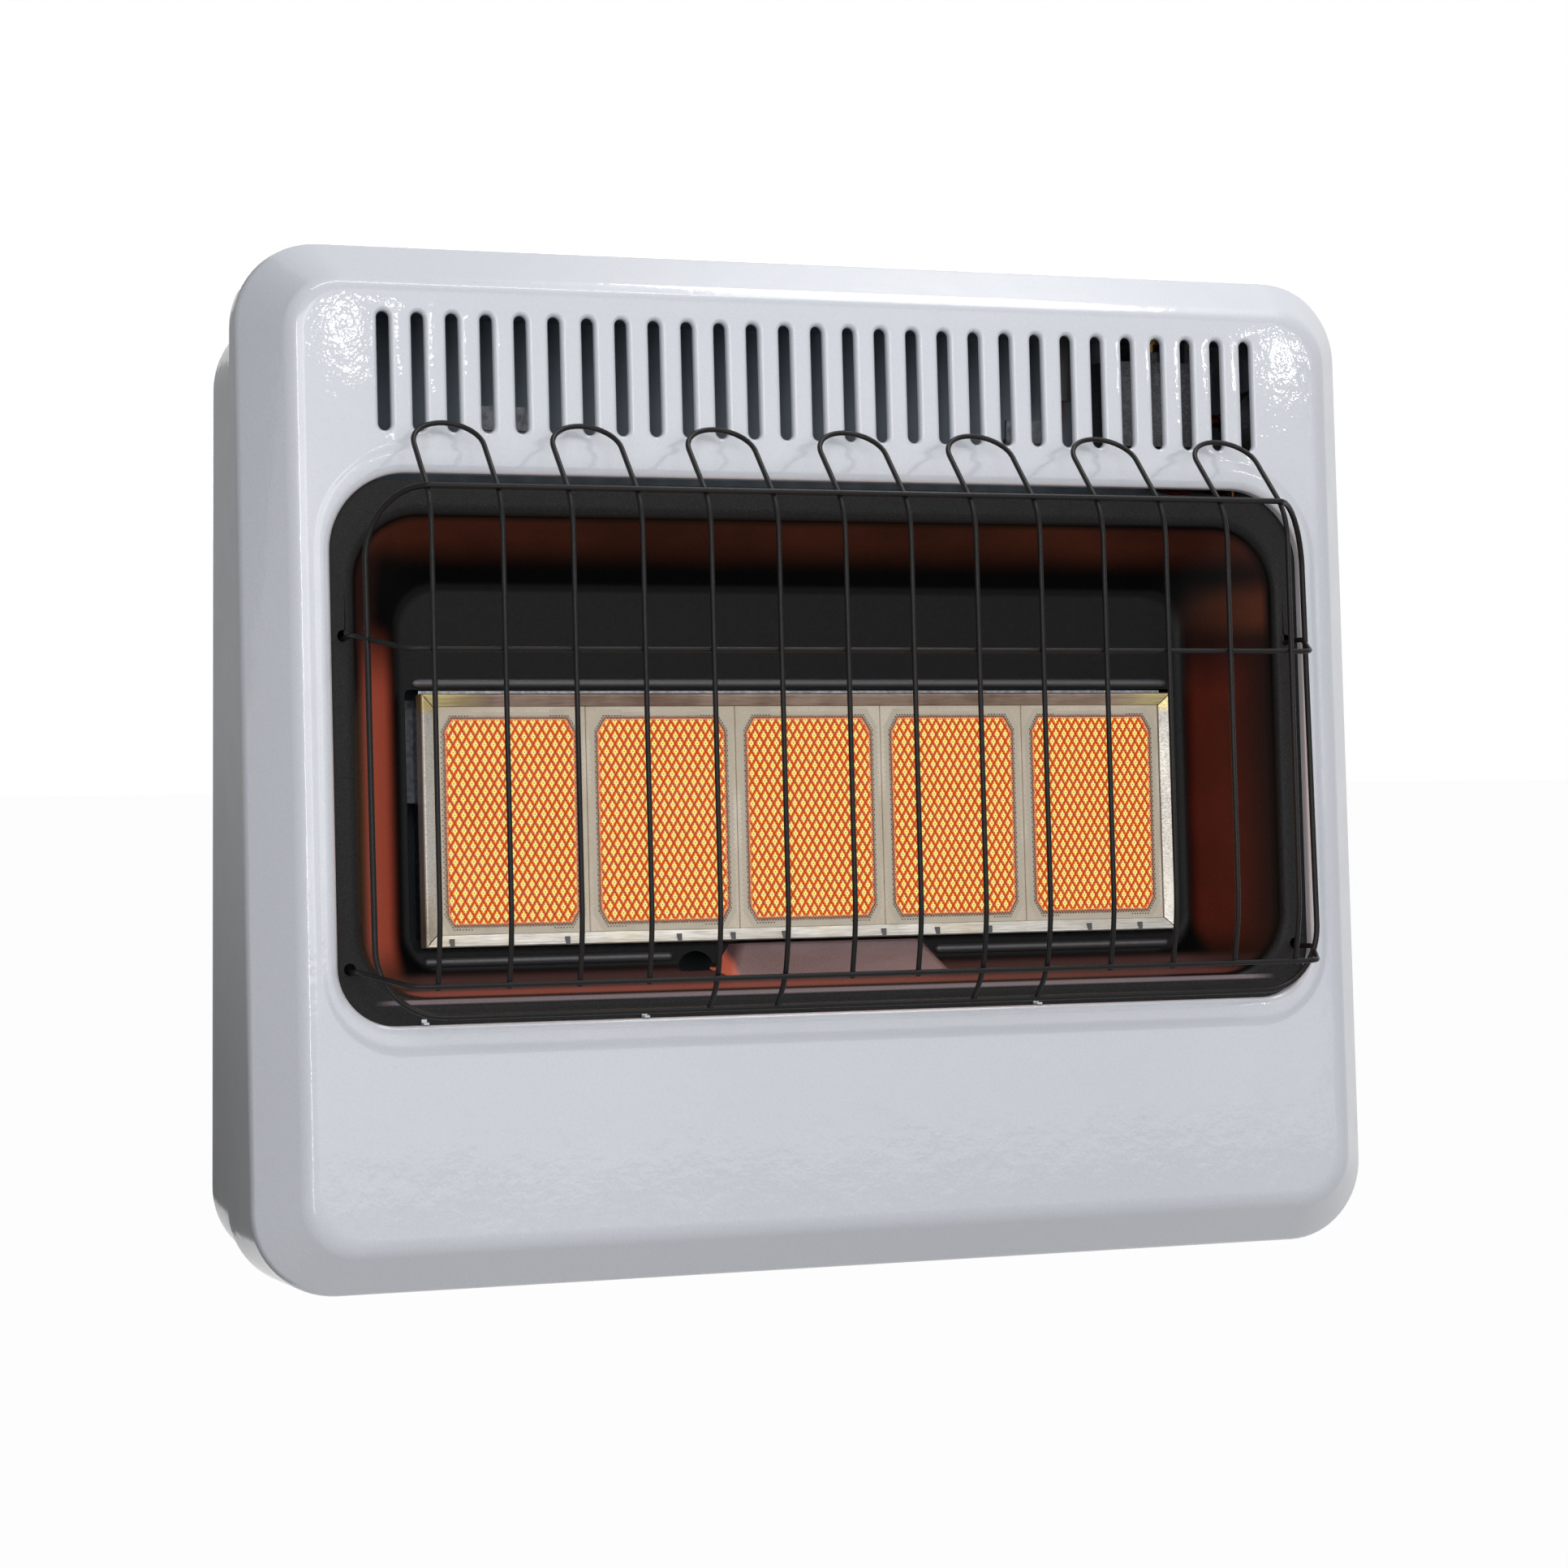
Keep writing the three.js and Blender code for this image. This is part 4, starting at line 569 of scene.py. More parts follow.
def makeCover():
    s = SimpleNamespace(**coverSizes)
    metalSheet = SheetMetal()

    def rim(inset, depth):
        radius = s.cornerRadius - s.radiusDrop * inset
        return roundedRing(s.halfWidth - inset, s.halfHeight - inset, -s.halfHeight + inset, radius, radius, depth)

    # (inset, depth) from the front plate round to the skirt
    rims = [rim(inset, depth) for inset, depth in fillet(*s.plateFold) + fillet(*s.rimFold)]
    skirtStart = s.rimFold[2][1]
    rims.append(rim(0, lambda z: 0.5 * (skirtStart + depthOfPlane(s.rearEdge, z))))
    rims.append(rim(0, lambda z: depthOfPlane(s.rearEdge, z)))
    plateEdge, _ = metalSheet.joinAll(rims)
    halfWidth, top, bottom, topRadius, bottomRadius = s.window
    steps = []
    for out, depth in s.windowSteps:   # the swage is narrower at the sides, where the rim's fold is close
        beside = min(out, s.edgeRoll) + max(out - s.edgeRoll, 0.0) * s.sideShare
        radius = 0.5 * (out + beside)
        steps.append(roundedRing(halfWidth + beside, top + out, bottom - out, topRadius + radius, bottomRadius + radius,
                                 depth))
    _, windowEdge = metalSheet.joinAll(steps)
    loops = [plateEdge, windowEdge]
    for i in range(s.slotCount):
        x = (i - (s.slotCount - 1) / 2) * s.slotPitch
        slot = [slotRing(s.slotHalf + out, s.slotTop + out, s.slotBottom - out, depth, x) for out, depth in s.slotSteps]
        loops.append(metalSheet.joinAll(slot)[1])
    metalSheet.plate(loops, facingRoom)
    shell = metalSheet.finish("coverShell", finishes["white_enamel"], s.sheet, inside=insideShade)
    place(shell, "heater", "white_enamel", "front_cover")


makeCover()
print("cover made")

# rear housing: a tray behind the cover

housingSizes = {
    "halfWidth": 343.4, "top": 66.0, "bottom": -493.65, "cornerRadius": 47.5, "lap": -72.6, "back": -2.3,
    "backRoll": 4.0, "sheet": 1.2, "lapClears": 18.5, "flange": (-65.1, 98.0),
    "airSlots": (8, 72.0, -36.0, 52.0, 7.0, -31.8),
    "topHoles": ((240.0, -33.0, 8.7), (180.0, -33.0, 9.3), (214.0, -33.0, 2.3), (266.0, -33.0, 2.3)),
    "inletHole": (276.0, -45.0, 9.8), "hookX": 170.0, "hookSlot": (32.0, -12.0, 2.3),
    "cutStart": 4, "slotCut": 9, "holeCut": 8, "flangeInset": 0.6,
}


def boxPoints(x0, x1, y0, y1, z0, z1):
    return [(x, y, z) for x in (x0, x1) for y in (y0, y1) for z in (z0, z1)]


def addBlock(mesh, corners, position):   # a closed six-sided block from eight corners in x, y, z order
    v = [mesh.verts.new(position(*c)) for c in corners]
    for face in ((0, 1, 3, 2), (4, 6, 7, 5), (0, 4, 5, 1), (2, 3, 7, 6), (0, 2, 6, 4), (1, 5, 7, 3)):
        mesh.faces.new([v[k] for k in face])


def addTube(mesh, ringA, ringB, position):
    a, b = [[mesh.verts.new(position(*p)) for p in ring] for ring in (ringA, ringB)]
    for i in range(len(a)):
        after = (i + 1) % len(a)
        mesh.faces.new((a[i], a[after], b[after], b[i]))
    mesh.faces.new(a[::-1])
    mesh.faces.new(b)


def pierce(piece, mesh):   # cuts the closed shapes in mesh out of the piece
    bmesh.ops.recalc_face_normals(mesh, faces=mesh.faces)
    data = bpy.data.meshes.new("cutter")
    mesh.to_mesh(data)
    mesh.free()
    cutter = newPiece("cutter", data)
    piece.modifiers.clear()
    cut = piece.modifiers.new("cut", "BOOLEAN")
    cut.object = cutter
    cut.solver = "EXACT"
    settle(piece)
    bpy.data.objects.remove(cutter)
    bpy.data.meshes.remove(data)
    smoothen(piece, 38)


def makeHousing():
    s = SimpleNamespace(**housingSizes)
    tray = SheetMetal(inRoom)

    def ring(inset, y):
        radius = s.cornerRadius - inset
        return roundedRing(s.halfWidth - inset, s.top - inset, s.bottom + inset, radius, radius, y)

    def lapEdge(z):   # the lap stops short where the cover's top edge rolls over it
        return s.flange[0] if z > s.lapClears else s.lap

    roll = s.backRoll
    rolled = fillet((0.0, s.back), (0.0, s.back - roll), (roll, s.back), 5)
    _, backEdge = tray.joinAll([ring(0, lapEdge)] + [ring(inset, y) for inset, y in rolled])
    tray.plate([backEdge], Vector((0, 1, 0)))
    housing = tray.finish("housingTray", finishes["white_enamel"], s.sheet, inside=insideShade)
    holes = bmesh.new()
    past = s.cutStart

    def upright(outline, low, tall):
        addTube(holes, *([(x, y, z) for x, _, y in outline] for z in (low, low + tall)), inRoom)

    count, pitch, shift, length, width, y = s.airSlots
    for i in range(count):
        x = (i - (count - 1) / 2) * pitch + shift
        upright(slotRing(length / 2, y + width / 2, y - width / 2, 0, x, width / 2), s.bottom - past, s.slotCut)
    for hole in s.topHoles:
        upright(circleRing(*hole, 0), s.top - past, s.holeCut)
    upright(circleRing(*s.inletHole, 0), s.bottom - past, s.holeCut)
    width, low, high = s.hookSlot
    for x in (-s.hookX, s.hookX):
        addBlock(holes, boxPoints(x - width / 2, x + width / 2, s.back - past, s.back + past, low, high), inRoom)
    pierce(housing, holes)
    place(housing, "heater", "white_enamel", "rear_housing")

    flange = SheetMetal(inRoom)
    near, high = s.flange
    radius = s.cornerRadius
    inset = s.flangeInset
    inner = roundedRing(s.halfWidth - inset, s.top - inset, s.bottom + inset, radius, radius, near)
    outer = roundedRing(s.halfWidth, high, s.bottom, radius, radius, near)
    keep = [i for i in range(len(inner)) if outer[i][2] - inner[i][2] > 1.0]
    flange.strips([flange.ring([points[i] for i in keep]) for points in (outer, inner)])
    place(flange.finish("housingFlange", insideShade, s.sheet), "heater", "white_enamel")


makeHousing()
print("housing made")

# reflector: a pressed black dish behind the window

reflectorSizes = {
    "sheet": 1.2, "flangeDepth": 8.0, "flange": (314.0, 158.5, -158.0, 46.0, 36.0),
    "mouth": (284.0, 139.0, -131.0, 38.0, 38.0), "mouthDepth": 14.0, "floorStart": 13.0,
    "lip": ((7.0, 8.0), (4.8, 8.3), (2.9, 9.2), (1.3, 10.8), (0.4, 12.6)),
    "dish": (249.5, 106.0, -119.0, 26.0, 26.0), "dishDepth": 68.0, "backBend": 4.5,
    "cutOut": (243.8, 45.5, -106.0), "bead": 3.1, "beadSheet": 0.4,
    "beads": ((-240.0, 240.0, 49.2), (-236.0, -86.0, -111.6), (80.0, 236.0, -111.6)),
    "guardHoles": ((292.0, 71.0), (292.0, -114.0)), "guardHole": (3.4, 18),
    "screwHoles": ((308.0, 135.0), (308.0, -135.0)), "screwHole": (2.3, 14), "viewHole": (-72.0, -120.0, 11.0),
    "leadSlots": ((-34.0, -108.0, -117.0, 9.0), (52.0, -108.5, -116.5, 4.0)), "leadSlotCorner": 4.3,
    "cutOutCorner": 3.0, "backCorner": -3, "wallStep": 0.4, "viewHoleCut": (-8, 6), "leadSlotCut": (-2, 4),
    "beadShares": (0.0, 0.003, 0.01, 0.02, 0.5, 0.98, 0.99, 0.997, 1.0), "beadSides": 10, "beadHeight": 0.9,
}


def makeReflector():
    s = SimpleNamespace(**reflectorSizes)
    dish = SheetMetal()

    def between(share):
        return [a + (b - a) * share for a, b in zip((*s.mouth, s.mouthDepth), (*s.dish, s.dishDepth))]

    def ring(values, out=0.0, depth=None):
        halfWidth, top, bottom, topRadius, bottomRadius, own = values
        return roundedRing(halfWidth + out, top + out, bottom - out, topRadius + out, bottomRadius + out,
                           own if depth is None else depth)

    wallEnd = between(1 - s.backBend / (s.dishDepth - s.mouthDepth))
    corner = between(1.0)
    inward, rounder = s.backBend, s.backCorner
    back = [v + shift for v, shift in zip(corner, (-inward, -inward, inward, rounder, rounder, 0))]
    bend = fillet(corner, back, wallEnd, 7)
    rings = [ring(values) for values in bend] + [ring(between(s.wallStep)), ring(between(0.0))]
    rings += [ring(between(0.0), out, depth) for out, depth in reversed(s.lip)]
    backEdge, lipEdge = dish.joinAll(rings)
    halfWidth, top, bottom = s.cutOut
    cutOut = dish.ring(roundedRing(halfWidth, top, bottom, s.cutOutCorner, s.cutOutCorner, s.dishDepth, 4))
    dish.plate([backEdge, cutOut], facingRoom)
    halfWidth, top, bottom, topRadius, bottomRadius = s.flange
    loops = [lipEdge, dish.ring(roundedRing(halfWidth, top, bottom, topRadius, bottomRadius, s.flangeDepth))]
    for side in (-1, 1):
        for places, (radius, sides) in ((s.guardHoles, s.guardHole), (s.screwHoles, s.screwHole)):
            for x, z in places:
                loops.append(dish.ring(circleRing(side * x, z, radius, s.flangeDepth, sides)))
    dish.plate(loops, facingRoom)
    reflector = dish.finish("reflectorDish", reflectorFinish, s.sheet, inside=insideShade)
    holes = bmesh.new()
    x, z, radius = s.viewHole
    addTube(holes, *(circleRing(x, z, radius, s.dishDepth + past) for past in s.viewHoleCut), onFront)
    for x, top, bottom, half in s.leadSlots:
        addTube(holes, *(slotRing(half, top, bottom, s.dishDepth + past, x, min(half, s.leadSlotCorner))
                         for past in s.leadSlotCut), onFront)
    pierce(reflector, holes)
    place(reflector, "heater", "black_enamel", "reflector")

    beads = SheetMetal()
    for x0, x1, z in s.beads:   # pressed ribs above and below the burner's opening
        lines = []
        for share in s.beadShares:
            x = x0 + (x1 - x0) * share
            near = min(x - x0, x1 - x, s.bead)
            size = math.sqrt(max(s.bead ** 2 - (s.bead - near) ** 2, 0.01))
            angles = [math.pi * k / s.beadSides for k in range(s.beadSides + 1)]
            lines.append(beads.ring([(x, s.dishDepth - size * s.beadHeight * math.sin(a), z + size * math.cos(a))
                                     for a in angles]))
        beads.strips(lines)
    bmesh.ops.recalc_face_normals(beads.mesh, faces=beads.mesh.faces)
    # the ribs get the lighter enamel: painted highlight
    place(beads.finish("reflectorBeads", beadHighlightNotchShade, s.beadSheet, 60), "heater", "black_enamel")


makeReflector()
print("reflector made")

# burner retaining frame: four folded strips with mitred corners

frameSizes = {
    "halfWidth": 237.0, "top": 42.5, "bottom": -103.5, "mitreGap": 0.35, "sheet": 0.8,
    "profile": ((0.0, 69.0), (0.0, 58.0), (0.25, 57.0), (0.9, 56.5), (1.6, 56.5), (2.6, 57.0), (5.2, 58.3),
                (6.4, 58.95), (7.1, 59.3), (7.4, 60.2)),
    "tabs": (-221.5, -186.4, -152.8, -84.9, -51.7, -19.5, 43.4, 78.0, 112.0, 178.0, 212.0),
    "tabHalf": 1.3, "tabDepth": (56.2, 58.4), "tabRise": (0.9, 5.0), "stepsAlong": 12,
}


def makeFrame():
    s = SimpleNamespace(**frameSizes)
    strips = SheetMetal()
    w, top, bottom, gap = s.halfWidth, s.top, s.bottom, s.mitreGap
    middle = (top + bottom) / 2
    halfHeight = (top - bottom) / 2
    for across, reach, turn in ((halfHeight, w, 0), (w, halfHeight, 1), (halfHeight, w, 2), (w, halfHeight, 3)):
        lines = []
        for inset, depth in s.profile:
            end = reach - inset - gap
            line = []
            for k in range(s.stepsAlong + 1):
                along = end * (1 - 2 * k / s.stepsAlong)
                x, z = ((along, across - inset), (-(across - inset), along),
                        (-along, -(across - inset)), (across - inset, -along))[turn]
                line.append(strips.mesh.verts.new(onFront(x, depth, z + middle)))
            lines.append(line)
        strips.strips(lines)
    burnerFrame = strips.finish("burnerFrameStrips", finishes["bright_steel"], s.sheet, 30)
    place(burnerFrame, "heater", "bright_steel", "burner_frame")
    tabs = SheetMetal()
    half, low, high = s.tabHalf, bottom + s.tabRise[0], bottom + s.tabRise[1]
    for x in s.tabs:   # dark blocks on the lower strip where its notches are: painted shade in the notches
        addBlock(tabs.mesh, boxPoints(x - half, x + half, *s.tabDepth, low, high), onFront)
    place(tabs.finish("burnerFrameTabs", beadHighlightNotchShade, 0, 30), "heater", "bright_steel")


makeFrame()
print("burner frame made")


# geometry node trees

class NodeTree(NodeMaker):
    def __init__(self, name, inputs):
        self.tree = bpy.data.node_groups.new(name, "GeometryNodeTree")
        sockets = self.tree.interface
        sockets.new_socket("Geometry", in_out="INPUT", socket_type="NodeSocketGeometry")
        for label, kind, value in inputs:
            socket = sockets.new_socket(label, in_out="INPUT", socket_type="NodeSocket" + kind)
            if value is not None:
                socket.default_value = value
        sockets.new_socket("Geometry", in_out="OUTPUT", socket_type="NodeSocketGeometry")
        self.given = self.tree.nodes.new("NodeGroupInput")
        self.result = self.tree.nodes.new("NodeGroupOutput")

    def value(self, label):
        return self.given.outputs[label]

    def compare(self, how, first, second):
        return self.out("FunctionNodeCompare", {"data_type": "FLOAT", "operation": how}, i0=first, i1=second)

    def position(self):
        return self.add("ShaderNodeSeparateXYZ", Vector=self.out("GeometryNodeInputPosition")).outputs

    def store(self, geometry, name, value):
        node = self.add("GeometryNodeStoreNamedAttribute", {"data_type": "FLOAT", "domain": "POINT"},
                        Geometry=geometry, Name=name)
        self.feed([i for i in node.inputs if i.name == "Value" and i.enabled][0], value)
        return node.outputs[0]

    def end(self, geometry):   # instances become mesh, and the finish goes on, because an export drops instances
        real = self.out("GeometryNodeRealizeInstances", Geometry=geometry)
        coated = self.out("GeometryNodeSetMaterial", Geometry=real, Material=self.value("Finish"))
        self.feed(self.result.inputs[0], coated)


def grow(name, base, nodeTree, values):   # runs a node tree on a base mesh and keeps the plain result
    piece = newPiece(name, base)
    modifier = piece.modifiers.new("nodes", "NODES")
    modifier.node_group = nodeTree.tree
    for item in nodeTree.tree.interface.items_tree:
        if item.in_out == "INPUT" and item.name in values:
            modifier[item.identifier] = values[item.name]
    settle(piece)
    return piece


def meshOf(name, points, edges=(), faces=()):
    data = bpy.data.meshes.new(name)
    data.from_pydata([tuple(p) for p in points], list(edges), list(faces))
    return data


# ceramic plaques: perforated, pressed with diamonds, glowing

def plaqueTree():
    t = NodeTree("perforatedPlaque", (
        ("Pitch", "Float", 1.77), ("Row step", "Float", 1.5), ("Half width", "Float", 38.9),
        ("Half height", "Float", 58.6), ("Corner", "Float", 9.4), ("Margin", "Float", 2.6),
        ("Diamond width", "Float", 5.3), ("Diamond height", "Float", 9.0), ("Groove", "Float", 0.3),
        ("Cold columns", "Float", 2.0), ("Seed", "Int", 0),
        ("Pierced cell", "Object", None), ("Plain cell", "Object", None), ("Finish", "Material", None),
    ))
    pitch, rowStep, halfWidth, halfHeight, corner = [
        t.value(label) for label in ("Pitch", "Row step", "Half width", "Half height", "Corner")]
    columns, rows = 59, 91
    grid = t.add("GeometryNodeMeshGrid", Size_X=1.0, Size_Y=1.0, Vertices_X=columns, Vertices_Y=rows).outputs["Mesh"]
    index = t.out("GeometryNodeInputIndex")
    row = t.combine("MODULO", index, rows)
    column = t.combine("FLOOR", t.over(index, rows))
    offset = t.times(t.combine("MODULO", row, 2.0), 0.5)   # every other row stands half a pitch aside
    x = t.times(t.plus(t.less(column, (columns - 1) / 2), offset), pitch)
    y = t.times(t.less(row, (rows - 1) / 2), rowStep)
    spot = t.out("ShaderNodeCombineXYZ", X=x, Y=y)
    lattice = t.out("GeometryNodeSetPosition", Geometry=grid, Position=spot)
    slope = t.over(t.times(rowStep, 2.0), pitch)   # the field's corners are cut along the lattice's own slope
    steep = t.combine("SQRT", t.plus(t.times(slope, slope), 1.0))

    def insideField(at, top):   # how far inside the burning field, and inside its cut corners, a point lies
        insideX = t.less(halfWidth, t.size(at[0]))
        insideY = t.less(top, t.size(at[1]))
        insideCut = t.over(t.less(t.plus(t.times(insideX, slope), insideY), corner), steep)
        return t.lowest(t.lowest(insideX, insideY), insideCut), insideCut

    at = t.position()
    nearCorner = t.compare("GREATER_THAN", t.size(at[0]), t.less(halfWidth, 17.0))   # there it is a row taller
    field = t.add("GeometryNodeCaptureAttribute", {"domain": "POINT"}, Geometry=lattice)
    field.capture_items.new("FLOAT", "inside")
    t.feed(field.inputs["inside"], insideField(at, t.plus(halfHeight, t.times(nearCorner, rowStep)))[0])
    inside = field.outputs["inside"]
    beyond = t.compare("LESS_THAN", inside, t.times(t.value("Margin"), -1.0))
    kept = t.out("GeometryNodeDeleteGeometry", {"domain": "POINT"}, Geometry=field.outputs[0], Selection=beyond)
    points = t.out("GeometryNodeMeshToPoints", Mesh=kept, Radius=0.1)
    pierced = t.compare("GREATER_EQUAL", inside, 0.0)
    unpierced = t.out("FunctionNodeBooleanMath", {"operation": "NOT"}, i0=pierced)
    both = t.add("GeometryNodeJoinGeometry")
    for label, chosen in (("Pierced cell", pierced), ("Plain cell", unpierced)):
        cell = t.add("GeometryNodeObjectInfo", {"transform_space": "ORIGINAL"}, Object=t.value(label), As_Instance=True)
        t.feed(both.inputs[0], t.out("GeometryNodeInstanceOnPoints", Points=points, Selection=chosen,
                                     Instance=cell.outputs["Geometry"]))
    real = t.out("GeometryNodeRealizeInstances", Geometry=both.outputs[0])
    welded = t.out("GeometryNodeMergeByDistance", Geometry=real, Distance=0.02)

    # grooves between the diamonds, and what the finish needs to know
    at = t.position()
    across = t.over(t.less(at[0], t.over(pitch, 2.0)), t.value("Diamond width"))   # four holes in each diamond
    up = t.over(at[1], t.value("Diamond height"))

    def toLine(total):   # 0 on a web line, 0.5 half way between two
        moved = t.plus(total, 0.5)
        part = t.less(moved, t.combine("FLOOR", moved))
        return t.less(0.5, t.size(t.less(part, 0.5)))

    web = t.lowest(toLine(t.plus(across, up)), toLine(t.less(across, up)))
    inside, insideCut = insideField(at, halfHeight)
    raised = t.less(1.0, t.spread(web, 0.04, 0.13))
    lowered = t.times(t.times(raised, t.spread(inside, 1.4, 3.2)), t.value("Groove"))
    pressed = t.out("GeometryNodeSetPosition", Geometry=welded, Selection=t.compare("GREATER_THAN", at[2], -0.3),
                    Offset=t.out("ShaderNodeCombineXYZ", Z=t.times(lowered, -1.0)))
    patch = t.out("ShaderNodeTexNoise", {"noise_dimensions": "4D"}, W=t.value("Seed"), Scale=0.35, Detail=2.0)
    burning = t.less(insideCut, 1.3)
    # the gas burns short of the field's border: most at the left, least at the top
    for reach, along, side, cold in (
            (halfWidth, at[0], 1, t.value("Cold columns")), (halfWidth, at[0], -1, 1.1),
            (halfHeight, at[1], -1, 0.9), (halfHeight, at[1], 1, 2.0)):
        burning = t.lowest(burning, t.less(t.plus(t.times(along, side), reach), cold))
    burning = t.plus(burning, t.times(t.less(patch, 0.5), 1.4))
    done = pressed
    for name, value in (("web", t.spread(web, 0.015, 0.28)), ("sunk", t.spread(at[2], -0.25, -0.9)),
                        ("glow", t.spread(burning, -1.8, 2.6)), ("heat", patch)):
        done = t.store(done, name, value)
    t.end(done)
    return t


def hexagonCell(name, pitch, rowStep, holeRadius, holeDepth):   # one brick of the hole lattice
    half = pitch / 2
    side = (rowStep ** 2 - half ** 2) / (2 * rowStep)
    tip = (rowStep ** 2 + half ** 2) / (2 * rowStep)
    outline = [(half, side), (0, tip), (-half, side), (-half, -side), (0, -tip), (half, -side)]
    points = [(x, y, 0) for x, y in outline]
    if not holeRadius:
        return meshOf(name, points, faces=[tuple(range(6))])
    for depth in (0.0, -holeDepth):
        for x, y in outline:
            size = math.hypot(x, y)
            points.append((x / size * holeRadius, y / size * holeRadius, depth))
    faces = [(i, (i + 1) % 6, 6 + (i + 1) % 6, 6 + i) for i in range(6)]
    faces += [(6 + i, 6 + (i + 1) % 6, 12 + (i + 1) % 6, 12 + i) for i in range(6)]
    return meshOf(name, points, faces=faces)


def makePlaques():
    s = SimpleNamespace(**plaqueSizes)
    tree = plaqueTree()
    cells = []
    for name, radius in (("piercedCell", s.holeRadius), ("plainCell", 0)):
        cells.append(newPiece(name, hexagonCell(name, s.pitch, s.rowStep, radius, s.holeDepth)))
    for number, coldColumns in enumerate(s.coldColumns):
        middle = (number - 2) * s.spacing
        face = grow(f"plaqueFace{number + 1}", meshOf("start", [(0, 0, 0)]), tree, {
            "Pitch": s.pitch, "Row step": s.rowStep, "Half width": s.halfWidth, "Half height": s.halfHeight,
            "Corner": s.corner, "Diamond width": s.diamondWidth, "Diamond height": s.diamondHeight,
            "Groove": s.groove, "Cold columns": coldColumns, "Seed": number + 3,
            "Pierced cell": cells[0], "Plain cell": cells[1], "Finish": finishes["plaque_glow"],
        })
        face.data.transform(frontFrame @ Matrix.Translation((middle, s.fieldMiddle, -s.face)))
        face.data.update()
        place(face, "heater", "plaque_glow", f"ceramic_plaque_{number + 1}")
        body = SheetMetal()
        half, high = s.width / 2, s.height / 2

        def outline(inset, depth):
            return [(middle + x, depth, s.middle + z) for x, z in (
                (half - inset, high - inset), (inset - half, high - inset), (inset - half, inset - high),
                (half - inset, inset - high))]

        a, b, tall = (size + more for size, more in zip((s.halfWidth, s.halfHeight, s.corner), s.border))
        wide = tall * s.pitch / (2 * s.rowStep)
        field = [(a, b - tall), (a - wide, b), (wide - a, b), (-a, b - tall),
                 (-a, tall - b), (wide - a, -b), (a - wide, -b), (a, tall - b)]
        near = s.face + s.behindFace
        inner = body.ring([(middle + x, near, s.fieldMiddle + z) for x, z in field])
        floor = body.ring([(middle + x, s.face + s.holeDepth, s.fieldMiddle + z) for x, z in field])
        edge, (softIn, softBack) = s.edge, s.softEdge
        front, rear = body.joinAll([outline(softIn, near), outline(0.0, near + softBack),
                                    outline(0.0, s.back - edge), outline(edge, s.back)])
        body.plate([front, inner], facingRoom)
        body.plate([rear], -facingRoom)
        body.join(floor, inner)
        body.plate([floor], facingRoom)
        block = body.finish(f"plaqueBody{number + 1}", finishes["ceramic"], sharp=30)
        place(block, "heater", "ceramic", f"ceramic_plaque_{number + 1}")
    for cell in cells:
        data = cell.data
        bpy.data.objects.remove(cell)
        bpy.data.meshes.remove(data)


makePlaques()
print("plaques made")

# wire guard: bent wires, welded where they cross

guardSizes = {
    "wires": 14, "wire": 1.5, "frameWire": 1.7, "sides": 12, "pitch": 39.7,
    "bend": 16.6, "bendSteps": 9, "loopSteps": 20,
    "top": 147.1, "topReach": 57.7, "bendZ": 138.8, "loopTop": 188.0, "loopReach": 13.3, "reach": 63.7, "middle": 58.0,
    "bottom": -124.0, "bottomReach": 58.0, "frameHalfWidth": 286.5, "frameBendX": 258.0, "frameBottom": -141.0,
    "frameReach": 27.0, "frameBottomReach": 40.0, "frameCorner": 38.0, "holeX": 292.0, "holeRadius": 3.4,
    "behind": 13.8, "weldReach": 2.4, "straightTo": -96, "crossRise": (13, 10), "hookStart": 20, "hookDepth": -14,
    "hookDrop": 8, "hookBend": 6, "holePlay": 0.3, "lowCornerBack": 4, "lowBendIn": 60,
    "frameBend": (6, 5), "frameLowBend": (8, 5), "footPast": 2, "frameFootPast": 1,
    "topWeld": (1.4, -0.6), "frameWeld": 0.6, "weldBead": 0.0019, "weldUnevenness": 0.25,
}


def bentPath(corners, reach, steps):
    corners = [Vector(c) for c in corners]
    path = [corners[0]]
    for before, corner, after in zip(corners, corners[1:], corners[2:]):
        into, out = before - corner, after - corner
        length = min(reach, into.length * 0.48, out.length * 0.48)
        path += [Vector(p) for p in fillet(corner, corner + into.normalized() * length,
                                           corner + out.normalized() * length, steps)]
    return path + [corners[-1]]


def quarterTurn(corner, behind, ahead, radius, steps=14):
    angles = [math.pi / 2 * k / steps for k in range(steps + 1)]
    return [corner + behind * radius * (1 - math.sin(a)) + ahead * radius * (1 - math.cos(a)) for a in angles]


def wireTree():
    t = NodeTree("bentWire", (("Wire radius", "Float", 0.0015), ("Sides", "Int", 12), ("Finish", "Material", None)))
    line = t.out("GeometryNodeMeshToCurve", Mesh=t.given.outputs["Geometry"])
    section = t.out("GeometryNodeCurvePrimitiveCircle", Resolution=t.value("Sides"), Radius=t.value("Wire radius"))
    tube = t.out("GeometryNodeCurveToMesh", Curve=line, Profile_Curve=section, Fill_Caps=True)
    t.end(t.out("GeometryNodeSetShadeSmooth", Geometry=tube))
    return t


